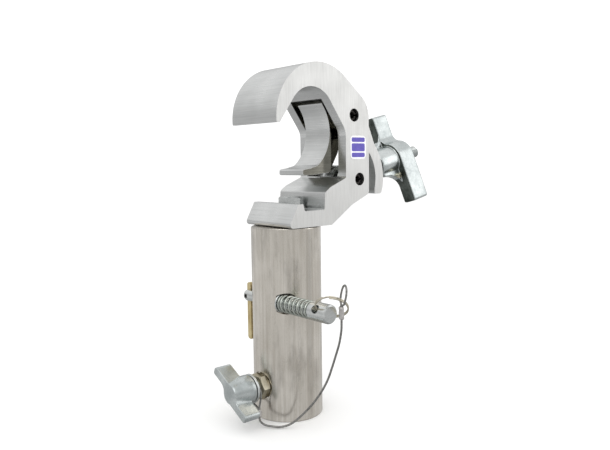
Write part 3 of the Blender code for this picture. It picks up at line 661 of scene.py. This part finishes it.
def make_torsion_spring():
    coil, turns, pitch, start = 5.6, 3.5, 1.9, -12.5
    line = [Vector((x, start, coil)) for x in (-7.5, -5.0, -2.5)]
    for i in range(int(turns * 36) + 1):
        angle = math.radians(90.0 - 10.0 * i)
        line.append(Vector((coil * math.cos(angle), start + pitch * i / 36.0, coil * math.sin(angle))))
    end = line[-1].y
    line += [Vector((-2.5, end, -coil)), Vector((-4.8, end, -coil + 0.5))]
    spring = sweep("bolt_lift_spring", line, circle_section(0.72, 12))
    spring.data.transform(Matrix.Translation(LOWER_PIN))
    settle(spring, TO_ROW, "hook", "torsion_spring", [ZINC_WIRE], smooth_angle=50.0)


def panel(left, right, low, high, radius):
    """A rectangle with round corners."""
    return rounded([(left, low, radius), (right, low, radius), (right, high, radius), (left, high, radius)])


def make_label():
    """A plain blue label with a pale border and two pale bars, no lettering."""
    near = -WIDTH / 2.0
    left, right, low, high, border = 32.6, 45.4, 37.2, 50.6, 1.0
    plate = prism("side_sticker", panel(left, right, low, high, 2.5), near - 0.22, near - 0.02)
    settle(plate, TO_ROW, "hook", "side_label", [LABEL_WHITE])
    fields = ((low + border, low + 3.6), (low + 4.4, high - 4.4), (high - 3.6, high - border))
    for number, (bottom, top) in enumerate(fields):
        outline = panel(left + border, right - border, bottom, top, 0.9)
        field = prism(f"sticker_field_{number}", outline, near - 0.26, near - 0.2)
        settle(field, TO_ROW, "hook", "side_label", [LABEL_BLUE])


# -------- trigger

def trigger_outline():
    """The second extrusion's section, from the saddle's top round its foot, web and arm."""
    lower = Vector(LOWER_XZ)
    outline = arc((1.3, 52.9), SADDLE_RADIUS, 40.5, -53.0, 48)
    outline += [(10.1, 32.2), (5.2, 31.6), (4.5, 31.0), (4.4, 29.2), (5.0, 28.3), (12.0, 28.3)]
    outline += corner((12.0, 28.3), (25.0, 29.6), (31.6, 40.6), 1.5)
    outline += corner((25.0, 29.6), (31.6, 40.6), (34.1, 48.5), 3.0)
    outline += arc(lower, ARM_INNER, 105.0, -16.0, 48)
    outline += [(63.4, 15.6)]
    outline += corner((63.4, 15.5), (69.6, 15.5), (70.3, 19.0), 2.0)
    outline += arc(lower, ARM_OUTER, -11.0, 42.0, 26)
    outline += corner((63.3, 46.0), (57.4, 59.2), (39.7, 69.1), 1.5)
    outline += arc(UPPER_XZ, 7.6, 61.0, 92.0, 10)
    outline += corner((35.0, 70.0), (19.2, 69.3), (19.6, 68.5), 0.4, 3)
    return outline


def make_trigger():
    half = TRIGGER_WIDTH / 2.0
    piece = prism("trigger_jaw", trigger_outline(), -half, half)
    top = M8_RADIUS + 0.4
    fork = [(18.0, -34.0), (36.0, -34.0), (36.0, top), (18.0, top)]
    tilt = Matrix.Rotation(BOLT_TILT, 2)
    fork = [tuple(tilt @ Vector(point) + Vector(LOWER_XZ)) for point in fork]
    cut(piece, rod("bore_tool", PIN_BORE, -half - 2.0, half + 2.0, "Y", UPPER_XZ),
        prism("fork_tool", fork, -4.5, 4.5))
    break_edges(piece, 0.35)
    shape = bmesh.new()
    shape.from_mesh(piece.data)
    # An edge across the sides, where the painted shade of the slot stops
    bmesh.ops.bisect_plane(shape, geom=[*shape.verts, *shape.edges, *shape.faces],
                           plane_co=(SLOT_REACH, 0.0, 0.0), plane_no=(1.0, 0.0, 0.0))
    shape.to_mesh(piece.data)
    shape.free()
    settle(piece, TO_ROW, "trigger", "trigger", [SAWN, DRAWN, EDGE_WEAR_AND_HIGHLIGHT, MILLED_PAINTED_SHADE], jaw_face)


# -------- swing bolt and wing nut

def make_swing_bolt():
    radius, half = 8.2, 4.5
    upper = [(0.0, half), (radius - 1.2, half), (radius - 0.4, half - 0.35), (radius, half - 1.2)]
    eye = turned("bolt_eye", upper + [(r, -along) for r, along in reversed(upper)], "Y")
    neck = turned("neck_tool", [(0.0, 20.0), (3.55, 20.0), (3.6, 13.0), (4.0, 10.0), (4.3, 6.0), (4.3, 3.0),
                                (0.0, 3.0)], "X", steps=48)
    join(eye, neck)
    cut(eye, rod("eye_tool", PIN_BORE, -9.0, 9.0, "Y"))
    break_edges(eye, 0.3)
    settle(eye, ON_BOLT, "swing_bolt", "swing_bolt", [ZINC])
    stud = thread("bolt_thread", M8_RADIUS, 19.5, 76.0, "X", 0.9)
    settle(stud, ON_BOLT, "swing_bolt", "swing_bolt", [ZINC], smooth_angle=40.0)


def wing_profile(hub, outer, inner, span, fillet):
    """End view of two offset wings on a round hub: each wing lies between inner and outer."""
    tip = 1.4

    def blend(edge, sign):
        centre_x = edge + sign * fillet
        centre_y = -math.sqrt((hub + fillet) ** 2 - centre_x ** 2)
        toward_hub = math.degrees(math.atan2(-centre_y, -centre_x))
        return arc((centre_x, centre_y), fillet, toward_hub, 180.0 if sign > 0 else 0.0, 12)

    half = [(outer, 0.0)] if outer >= hub else blend(outer, 1.0)
    half += corner((outer, 0.0), (outer, -span), (inner, -span), tip)
    half += corner((outer, -span), (inner, -span), (inner, 0.0), tip)
    inner_blend = blend(inner, -1.0)
    inner_blend.reverse()
    half += inner_blend
    last = math.degrees(math.atan2(inner_blend[-1][1], inner_blend[-1][0]))
    stop = math.degrees(math.atan2(-half[0][1], -half[0][0]))
    turn_by = (stop - last) % 360.0 - 360.0
    half += arc((0.0, 0.0), hub, last, last + turn_by, 24)[1:-1]
    return half + [(-x, -y) for x, y in half]


def wings(name, profile, low, high, turn_by):
    """The wings' end view pushed out along X, its outer side towards -Y, then turned about X."""
    plate = prism(name, profile, low, high)
    plate.data.transform(Matrix.Rotation(-math.pi / 2.0, 4, "Z"))
    plate.data.transform(Matrix.Rotation(turn_by, 4, "X"))
    return plate


def gusset(name, turn_by):
    """A rib with a round hollow between the boss and one wing."""
    outline = [(34.6, -4.0), (34.6, -8.7)]
    for i in range(25):
        angle = math.radians(90.0 * i / 24)
        outline.append((35.4 + 13.7 * math.sin(angle), -19.5 + 10.3 * math.cos(angle)))
    outline += [(51.0, -19.5), (51.0, -4.0)]
    rib = prism(name, outline, -6.0, -1.4)
    rib.data.transform(Matrix.Rotation(turn_by, 4, "X"))
    return rib


def nut_face(face):
    """1 on the cast faces that look back along the swing bolt, which carry painted shade, 0 elsewhere."""
    return 1 if face.normal.dot(BOLT_AXIS) < -0.72 else 0


def make_wing_nut():
    boss = turned("wing_nut_cast", [(0.0, 50.0), (9.3, 50.0), (9.3, 34.0), (8.9, 33.3), (0.0, 33.3)], "X")
    join(boss, wings("wings_tool", wing_profile(10.8, 10.8, 1.3, 30.1, 6.0), 49.1, 62.3, WING_TURN),
         gusset("gusset_tool", WING_TURN), gusset("gusset_tool", WING_TURN + math.pi))
    bore = turned("bore_tool", [(0.0, 66.0), (5.0, 66.0), (5.0, 62.0), (M8_BORE, 61.2), (M8_BORE, 34.4),
                                (5.0, 33.4), (5.0, 30.0), (0.0, 30.0)], "X", steps=48)
    cut(boss, bore)
    cast(boss, 0.42, 7)
    settle(boss, ON_BOLT, "wing_nut", "wing_nut", [ZINC_CAST, ZINC_PAINTED_SHADE], nut_face, 60.0)
    roll_pin("wing_nut_cross_pin", 1.75, 0.9, -10.6, 5.0, "Y", (46.4, -9.2), ON_BOLT,
             "wing_nut", "wing_nut_spring_pin", PALE_ZINC)
    washer = ring("nut_thrust_washer", 8.5, M8_BORE, 31.3, 32.9, "X")
    settle(washer, ON_BOLT, "nut_carrier", "thrust_washer", [ZINC])


# -------- barrel

def hexagon(name, low, high, axis, turn_by=0.0, chamfer_low=True):
    """An M8 hexagon with the round chamfer a real head or nut has."""
    corner_radius, drop, face = M8_FLATS / math.sqrt(3.0), 0.9, M8_FLATS / 2.0 * 0.98
    outline = [polar(corner_radius, math.radians(60.0 * i) + turn_by) for i in range(6)]
    block = prism(name, outline, low, high)
    profile = [(0.0, high), (face, high), (corner_radius + 0.5, high - drop)]
    if chamfer_low:
        profile += [(corner_radius + 0.5, low + drop), (face, low), (0.0, low)]
    else:
        profile += [(corner_radius + 1.0, low - 1.0), (0.0, low - 1.0)]
    combine(block, "INTERSECT", turned("chamfer_tool", profile, "Y", steps=96))
    block.data.transform({"X": Matrix.Rotation(-math.pi / 2.0, 4, "Z"),
                          "Z": Matrix.Rotation(math.pi / 2.0, 4, "X")}[axis])
    return block


def barrel_face(face):
    """1 on the bored faces, 0 elsewhere."""
    flat = Vector((face.center.x - DATUM.x, face.center.y - DATUM.y, 0.0)) / MM
    if flat.length < BARREL_BORE + 0.4 and face.center.z < DATUM.z - (BARREL_WEB - 1.0) * MM:
        return 1
    return 0


def make_barrel():
    top, bottom = -0.3, -BARREL_LENGTH
    profile = [
        (0.0, top), (BARREL_RADIUS - 0.8, top), (BARREL_RADIUS - 0.25, top - 0.2), (BARREL_RADIUS, top - 0.8),
        (BARREL_RADIUS, bottom + 0.7), (BARREL_RADIUS - 0.2, bottom + 0.2), (BARREL_RADIUS - 0.7, bottom),
        (BARREL_BORE + 0.8, bottom), (BARREL_BORE, bottom + 0.8), (BARREL_BORE, -BARREL_WEB + 0.5),
        (BARREL_BORE - 0.5, -BARREL_WEB), (0.0, -BARREL_WEB),
    ]
    body = turned("spigot_barrel", profile, "Z", steps=144)
    pin_at = (TOGGLE_AXIS.x, TOGGLE_AXIS.z)
    screw_at = (0.0, WING_BOLT_AXIS.z)
    cut(
        body,
        rod("bolt_tool", BARREL_M8_BORE, -BARREL_WEB - 2.0, 2.0, "Z", (BOLT_X, 0.0)),
        rod("pin_tool", LOCKING_PIN_BORE, -24.0, 24.0, "Y", pin_at),
        rod("spot_face_tool", 5.9, -24.0, -11.0, "Y", pin_at),
        rod("screw_tool", BARREL_M8_BORE, -24.0, -8.0, "X", screw_at),
        rod("nut_face_tool", 8.0, -24.0, -18.3, "X", screw_at, steps=64),
    )
    break_edges(body, 0.22, 2, 35.0)
    settle(body, TO_ROW, "hook", "barrel", [BARREL, BORE], barrel_face)


def make_barrel_bolt():
    """Hexagon bolt on a split spring washer."""
    floor, seat = BASE_FLOOR + 0.3, BASE_FLOOR + 1.9
    half_wall, half_high = (6.8 - M8_BORE) / 2.0, 0.6
    line = [Vector((BOLT_X + 5.5 * math.cos(math.radians(a)), 5.5 * math.sin(math.radians(a)),
                    floor + 0.62 + 0.28 * a / 352.0)) for a in range(4, 353, 6)]
    box = [(half_high, half_wall), (-half_high, half_wall), (-half_high, -half_wall), (half_high, -half_wall)]
    washer = sweep("split_washer", line, box)
    break_edges(washer, 0.15, 1, 50.0)
    settle(washer, TO_ROW, "hook", "barrel_bolt_washer", [ZINC])
    head = hexagon("barrel_bolt_head", seat, seat + 5.3, "Z", math.pi / 6.0, False)
    head.data.transform(Matrix.Translation((BOLT_X, 0.0, 0.0)))
    break_edges(head, 0.15)
    settle(head, TO_ROW, "hook", "barrel_bolt", [ZINC])
    shank = thread("barrel_bolt_shank", 3.9, -19.0, seat + 0.6, "Z", 0.8)
    shank.data.transform(Matrix.Translation((BOLT_X, 0.0, 0.0)))
    settle(shank, TO_ROW, "hook", "barrel_bolt", [ZINC], smooth_angle=40.0)


# -------- locking pin

# Where the pin's head begins, and the middle of its cross hole, from the middle of the barrel
HEAD_START = -37.2
RING_HOLE = Vector((0.0, -45.0, 0.0))
# The split ring's plane, along its hang from the hole and across it, and its radius
RING_ALONG = Vector((0.0, -0.839, 0.545))
RING_ACROSS = Vector((-0.819, 0.313, 0.482))
RING_RADIUS = 8.4


def make_locking_pin():
    head, end, nose = HEAD_START, -50.5, TOGGLE_AXIS.y + 3.4
    profile = [
        (0.0, nose), (1.5, nose - 0.05), (2.5, nose - 0.45), (3.15, nose - 1.1), (3.5, nose - 2.2),
        (3.5, head), (4.8, head), (5.1, head - 0.3), (5.1, end + 1.0), (4.9, end + 0.5),
        (4.2, end), (0.0, end),
    ]
    pin = turned("locking_pin", profile, "Y", steps=64)
    slot = prism("slot_tool", [(-1.4, -6.0), (1.4, -6.0), (1.4, 6.0), (-1.4, 6.0)], 6.0, 30.0)
    cross = rod("cross_tool", 2.4, -9.0, 9.0)
    aim = RING_ACROSS.to_track_quat("Z", "Y").to_matrix().to_4x4()
    cross.data.transform(Matrix.Translation(RING_HOLE) @ aim)
    cut(pin, slot, cross, rod("rivet_tool", 1.3, -5.0, 5.0, "X", (TOGGLE_AXIS.y, 0.0), 24))
    break_edges(pin, 0.25, 2, 35.0)
    settle(pin, ON_DROP_PIN, "drop_pin", "drop_pin", [ZINC])
    roll_pin("toggle_roll_pin", 1.15, 0.6, -3.3, 3.3, "X", (TOGGLE_AXIS.y, 0.0), ON_DROP_PIN,
             "drop_pin", "toggle_rivet", BLACK_STEEL)


def make_toggle():
    half = 1.7
    outline = arc((0.0, 6.1), half, 0.0, 180.0, 20)
    outline += corner((-half, 0.0), (-half, -26.0), (half, -26.0), 0.6)
    outline += corner((-half, -26.0), (half, -26.0), (half, 0.0), 1.6)
    blade = prism("toggle_blade", outline, -1.0, 1.0)
    blade.data.transform(Matrix.Rotation(math.pi / 2.0, 4, "Z"))
    cut(blade, rod("hole_tool", 1.2, -3.0, 3.0, "X", steps=24))
    break_edges(blade, 0.2)
    settle(blade, ON_TOGGLE, "toggle", "toggle", [YELLOW_ZINC])


def make_pin_spring():
    """Compression spring with closed ends, and the washer it sits on."""
    at = (TOGGLE_AXIS.x, TOGGLE_AXIS.z)
    washer = ring("pin_washer", 5.5, LOCKING_PIN_BORE, -12.3, -11.3, "Y", at, 0.2)
    settle(washer, TO_ROW, "hook", "pin_seat_washer", [ZINC])
    coil, gauge, turns, closed, count = 4.45, 0.6, 8.0, 0.9, 288
    low, high = -12.45 - gauge, HEAD_START + 0.15 + gauge
    line = []
    for i in range(count + 1):
        now = turns * i / count
        open_share = min(max(now - closed, 0.0), turns - 2 * closed) / (turns - 2 * closed)
        shut = min(now, closed) + max(0.0, now - (turns - closed))
        y = low - shut * gauge * 2.05 + open_share * (high - low + 2 * closed * gauge * 2.05)
        angle = 2.0 * math.pi * now + 0.8
        line.append(Vector((coil * math.cos(angle), y, coil * math.sin(angle))))
    spring = sweep("pin_return_spring", line, circle_section(gauge, 14))
    spring.data.transform(Matrix.Translation((TOGGLE_AXIS.x, 0.0, TOGGLE_AXIS.z)))
    settle(spring, TO_ROW, None, "pin_spring", [ZINC_WIRE], smooth_angle=50.0)
    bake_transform(spring)


def make_split_ring():
    """Two turns of wire side by side, as a key ring is."""
    centre = RING_HOLE + RING_ALONG * (RING_RADIUS - 0.85)
    normal = RING_ALONG.cross(RING_ACROSS).normalized()
    gauge, turns, steps = 0.42, 2.0, 72
    line = []
    for i in range(int(turns * steps) - 4):
        now = i / steps
        angle = 2.0 * math.pi * now + 1.2
        step_over = min(1.0, max(0.0, (now - 0.93) / 0.14))
        lift = (step_over - 0.5) * 2.1 * gauge
        line.append(centre + RING_RADIUS * (math.cos(angle) * RING_ALONG + math.sin(angle) * RING_ACROSS)
                    + normal * lift)
    hoop = sweep("key_ring", line, circle_section(gauge, 12))
    settle(hoop, ON_DROP_PIN, "drop_pin", "split_ring", [RING], smooth_angle=50.0)


# -------- wing bolt on the barrel

def make_wing_bolt():
    at = (0.0, WING_BOLT_AXIS.z)
    nut = hexagon("barrel_nut", 18.6, 23.6, "X")
    nut.data.transform(Matrix.Rotation(math.pi, 4, "Z"))
    nut.data.transform(Matrix.Translation((0.0, *at)))
    cut(nut, rod("bore_tool", M8_BORE, -26.0, -16.0, "X", at))
    break_edges(nut, 0.2)
    settle(nut, TO_ROW, "hook", "barrel_hex_nut", [PALE_ZINC])
    washer = ring("clamp_washer", 8.2, BARREL_M8_BORE, -28.0, -26.6, "X")
    settle(washer, ON_WING_BOLT, "wing_bolt_carrier", "wing_bolt_washer", [ZINC])
    boss = turned("wing_bolt_cast", [
        (0.0, -28.35), (7.8, -28.35), (8.2, -28.9), (8.2, -31.0), (7.8, -33.4), (7.0, -35.8), (6.3, -38.4),
        (5.9, -41.0), (5.4, -41.7), (0.0, -41.7),
    ], "X")
    # Its wings lie on the other side of each other than the wing nut's do
    left_handed = [(-x, y) for x, y in reversed(wing_profile(5.5, 4.9, 0.4, 17.7, 5.0))]
    join(boss, wings("wings_tool", left_handed, -41.8, -31.8, WING_BOLT_TURN))
    cast(boss, 0.36, 6)
    settle(boss, ON_WING_BOLT, "wing_bolt", "wing_bolt", [ZINC_CAST], smooth_angle=60.0)
    stud = thread("wing_bolt_thread", M8_RADIUS, -30.0, -11.5, "X", 0.9)
    settle(stud, ON_WING_BOLT, "wing_bolt", "wing_bolt", [ZINC], smooth_angle=40.0)


# -------- lanyard

LANYARD_ROUTE = (
    (-12.6, -58.2, -43.8), (-11.8, -57.1, -49.2), (-10.1, -53.8, -56.5), (-8.8, -50.0, -63.5),
    (-8.2, -46.2, -71.5), (-8.1, -42.5, -79.3), (-8.7, -37.6, -87.4), (-10.3, -32.2, -95.0),
    (-12.9, -27.5, -101.0), (-16.7, -22.8, -106.3), (-21.0, -18.9, -108.2), (-24.6, -15.2, -108.0),
    (-26.8, -11.6, -107.6), (-27.2, -8.6, -106.6), (-26.5, -6.6, -105.6),
)
# Where the rope ends inside its two ferrules
ROPE_IN_UPPER, ROPE_IN_LOWER = (-12.7, -58.3, -42.0), (-25.9, -5.7, -104.4)
# Each end: name, body, ferrule top and foot, the loop's up and width directions, half the loop (across, up)
LANYARD_ENDS = (
    ("upper", "drop_pin", (TOGGLE_AXIS.x, -58.3, -36.3), (-12.7, -58.3, -42.7),
     (0.0, -0.27, 1.0), (0.4, 1.0, 0.3),
     ((0.5, -2.0), (0.7, 0.2), (2.4, 1.6), (2.9, 4.5), (2.8, 7.4), (1.8, 9.8), (0.0, 10.7))),
    ("lower", "hook", (-25.2, -4.9, -101.4), (-26.0, -5.8, -105.0),
     (0.0, 4.9, 9.7), (0.0, 1.0, -0.5),
     ((0.55, -1.5), (0.8, 0.5), (3.8, 3.8), (6.1, 7.2), (6.1, 12.0), (3.4, 15.4), (0.0, 16.5))),
)


def rope_section(radius):
    """A bundle of strands seen end on."""
    points, strands, count = [], 6, 36
    for k in range(count):
        angle = 2.0 * math.pi * k / count
        here = radius * (1.0 - 0.2 * (1.0 - abs(math.cos(strands * angle / 2.0))))
        points.append(polar(here, angle))
    return points


def ferrule(name, top, foot, across, width, depth):
    """An oval sleeve pressed flat in two bands."""
    axis = Vector(foot) - Vector(top)
    along = axis.normalized()
    side = (across - across.project(along)).normalized()
    depth_side = along.cross(side)
    verts, rings, count, levels = [], [], 40, 28
    for level in range(levels + 1):
        share = level / levels
        ends = min(1.0, 0.82 + 2.2 * min(share, 1.0 - share))
        press = 1.0 - 0.16 * max(math.exp(-((share - band) / 0.1) ** 2) for band in (0.3, 0.7))
        rings.append(list(range(level * count, (level + 1) * count)))
        for k in range(count):
            angle = 2.0 * math.pi * k / count
            x = math.copysign(abs(math.cos(angle)) ** 0.8, math.cos(angle)) * width / 2.0 * ends
            y = math.copysign(abs(math.sin(angle)) ** 0.8, math.sin(angle)) * depth / 2.0 * ends * press
            verts.append(Vector(top) + axis * share + side * x + depth_side * y)
    sleeve = new_solid(name, verts, skin(rings) + [rings[0][::-1], rings[-1]])
    break_edges(sleeve, 0.12, 2, 50.0)
    return sleeve


def make_lanyard():
    ends = []
    for side, body, top, foot, up, across, half in LANYARD_ENDS:
        up = Vector(up).normalized()
        across = Vector(across)
        across = (across - across.project(up)).normalized()
        sleeve = ferrule(f"lanyard_{side}_sleeve", top, foot, across, 3.4, 2.5)
        settle(sleeve, TO_ROW, body, f"lanyard_{side}_ferrule", [FERRULE])
        flat = list(half) + [(-x, y) for x, y in reversed(half[:-1])]
        start = Vector(top) + up * 0.75
        line = smooth_line([start + across * x + up * y for x, y in flat], 8, closed=True)
        loop = sweep(f"lanyard_{side}_eye", line, rope_section(0.9 * LANYARD_RADIUS), closed=True,
                     twist=2.0 * math.pi * round(length_of(line) / LANYARD_LAY))
        settle(loop, TO_ROW, body, f"lanyard_{side}_loop", [ROPE], smooth_angle=80.0)
        ends += [sleeve, loop]
    line = smooth_line([Vector(point) for point in (ROPE_IN_UPPER, *LANYARD_ROUTE, ROPE_IN_LOWER)], 20)
    line = evenly(line, round(length_of(line) / 0.5))
    rope = sweep("lanyard_rope", line, rope_section(LANYARD_RADIUS),
                 twist=2.0 * math.pi * length_of(line) / LANYARD_LAY)
    rope.data.transform(TO_ROW)
    rope.data.materials.append(ROPE)
    rope.data.shade_smooth()
    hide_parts("lanyard_wire")
    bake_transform(rope)


# -------- floor and light

FLOOR_HALF, FLOOR_COLOUR, FLOOR_ROUGHNESS = 15.0, (0.95, 0.95, 0.945, 1.0), 0.6


def make_floor():
    """A wide plain floor at the barrel's rim, which the metal doesn't reflect."""
    material, _, shader = new_material("floor_white")
    shader.inputs["Base Color"].default_value = FLOOR_COLOUR
    shader.inputs["Roughness"].default_value = FLOOR_ROUGHNESS
    mesh = bpy.data.meshes.new("floor")
    mesh.from_pydata([(x * FLOOR_HALF, y * FLOOR_HALF, 0.0) for x, y in ((-1, -1), (1, -1), (1, 1), (-1, 1))],
                     [], [(0, 1, 2, 3)])
    mesh.materials.append(material)
    floor = add("floor", mesh)
    floor.location = (0.0, 0.0, FLOOR_Z)
    floor.visible_glossy = False


def area_light(name, location, aim, size, power):
    data = bpy.data.lights.new(name, "AREA")
    data.shape = "RECTANGLE"
    data.size, data.size_y = size
    data.energy = power
    lamp = add(name, data)
    lamp.location = location
    lamp.rotation_euler = (Vector(aim) - Vector(location)).to_track_quat("-Z", "Y").to_euler()


EVEN_LIGHT = 1.22
# What the metal reflects, from straight down to straight up: (sine of the elevation, brightness)
STUDIO_LEVELS = ((-1.0, 0.42), (-0.5, 0.62), (-0.3, 0.80), (-0.12, 0.84), (0.0, 0.66), (0.12, 0.62),
                 (0.3, 0.84), (0.5, 1.0), (1.0, 1.15))
# Cards and soft boxes in it: (azimuth, elevation, inner and outer radius in degrees, brightness)
STUDIO_CARDS = (
    (49.0, 4.0, 8.0, 26.0, 0.42),
    (311.0, 14.0, 9.0, 19.0, 1.22),
    (311.0, -9.0, 5.0, 13.0, 0.55),
    (215.0, 42.0, 12.0, 30.0, 1.5),
)


def studio_world():
    """Even white light, with a studio of soft boxes and cards for the metal to reflect."""
    world = bpy.data.worlds.new("studio")
    world.use_nodes = True
    world.cycles.sampling_method = "NONE"
    tree = world.node_tree
    even = tree.nodes["Background"]
    even.inputs["Strength"].default_value = EVEN_LIGHT
    even.inputs["Color"].default_value = (1.0, 1.0, 1.0, 1.0)
    toward = node(tree, "ShaderNodeTexCoord").outputs["Generated"]
    height = node(tree, "ShaderNodeSeparateXYZ")
    tree.links.new(toward, height.inputs["Vector"])
    ramp = node(tree, "ShaderNodeFloatCurve")
    curve = ramp.mapping.curves[0]
    while len(curve.points) < len(STUDIO_LEVELS):
        curve.points.new(0.5, 0.5)
    for point, (sine, level) in zip(curve.points, STUDIO_LEVELS):
        point.location = ((sine + 1.0) / 2.0, level / 2.0)
    ramp.mapping.update()
    tree.links.new(remapped(tree, height.outputs["Z"], -1.0, 1.0), ramp.inputs["Value"])
    double = node(tree, "ShaderNodeMath", operation="MULTIPLY")
    double.inputs[1].default_value = 2.0
    tree.links.new(ramp.outputs["Value"], double.inputs[0])
    level = double.outputs["Value"]
    for azimuth, elevation, inner, outer, brightness in STUDIO_CARDS:
        azimuth, elevation = math.radians(azimuth), math.radians(elevation)
        aim = node(tree, "ShaderNodeVectorMath", operation="DOT_PRODUCT")
        aim.inputs[1].default_value = (math.cos(elevation) * math.cos(azimuth),
                                       math.cos(elevation) * math.sin(azimuth), math.sin(elevation))
        tree.links.new(toward, aim.inputs[0])
        within = remapped(tree, aim.outputs["Value"], math.cos(math.radians(outer)),
                          math.cos(math.radians(inner)), interpolation_type="SMOOTHSTEP")
        level = mixed(tree, "FLOAT", within, level, brightness)
    studio = node(tree, "ShaderNodeBackground")
    tree.links.new(level, studio.inputs["Strength"])
    choice = node(tree, "ShaderNodeMixShader")
    tree.links.new(node(tree, "ShaderNodeLightPath").outputs["Is Glossy Ray"], choice.inputs["Fac"])
    tree.links.new(even.outputs["Background"], choice.inputs[1])
    tree.links.new(studio.outputs["Background"], choice.inputs[2])
    tree.links.new(choice.outputs["Shader"], tree.nodes["World Output"].inputs["Surface"])
    return world


def make_stage():
    scene = bpy.context.scene
    scene.view_settings.view_transform = "Standard"
    scene.world = studio_world()
    make_floor()
    middle = (0.02, 0.0, -0.03)
    area_light("key", (-0.75, -0.55, 0.85), middle, (0.7, 0.7), 1.6)
    area_light("side", (0.9, -0.7, 0.35), middle, (0.5, 0.8), 0.8)


make_hook()
make_pivots()
make_torsion_spring()
make_label()
make_trigger()
make_swing_bolt()
make_wing_nut()
make_barrel()
make_barrel_bolt()
make_locking_pin()
make_toggle()
make_pin_spring()
make_split_ring()
make_wing_bolt()
make_lanyard()
make_stage()
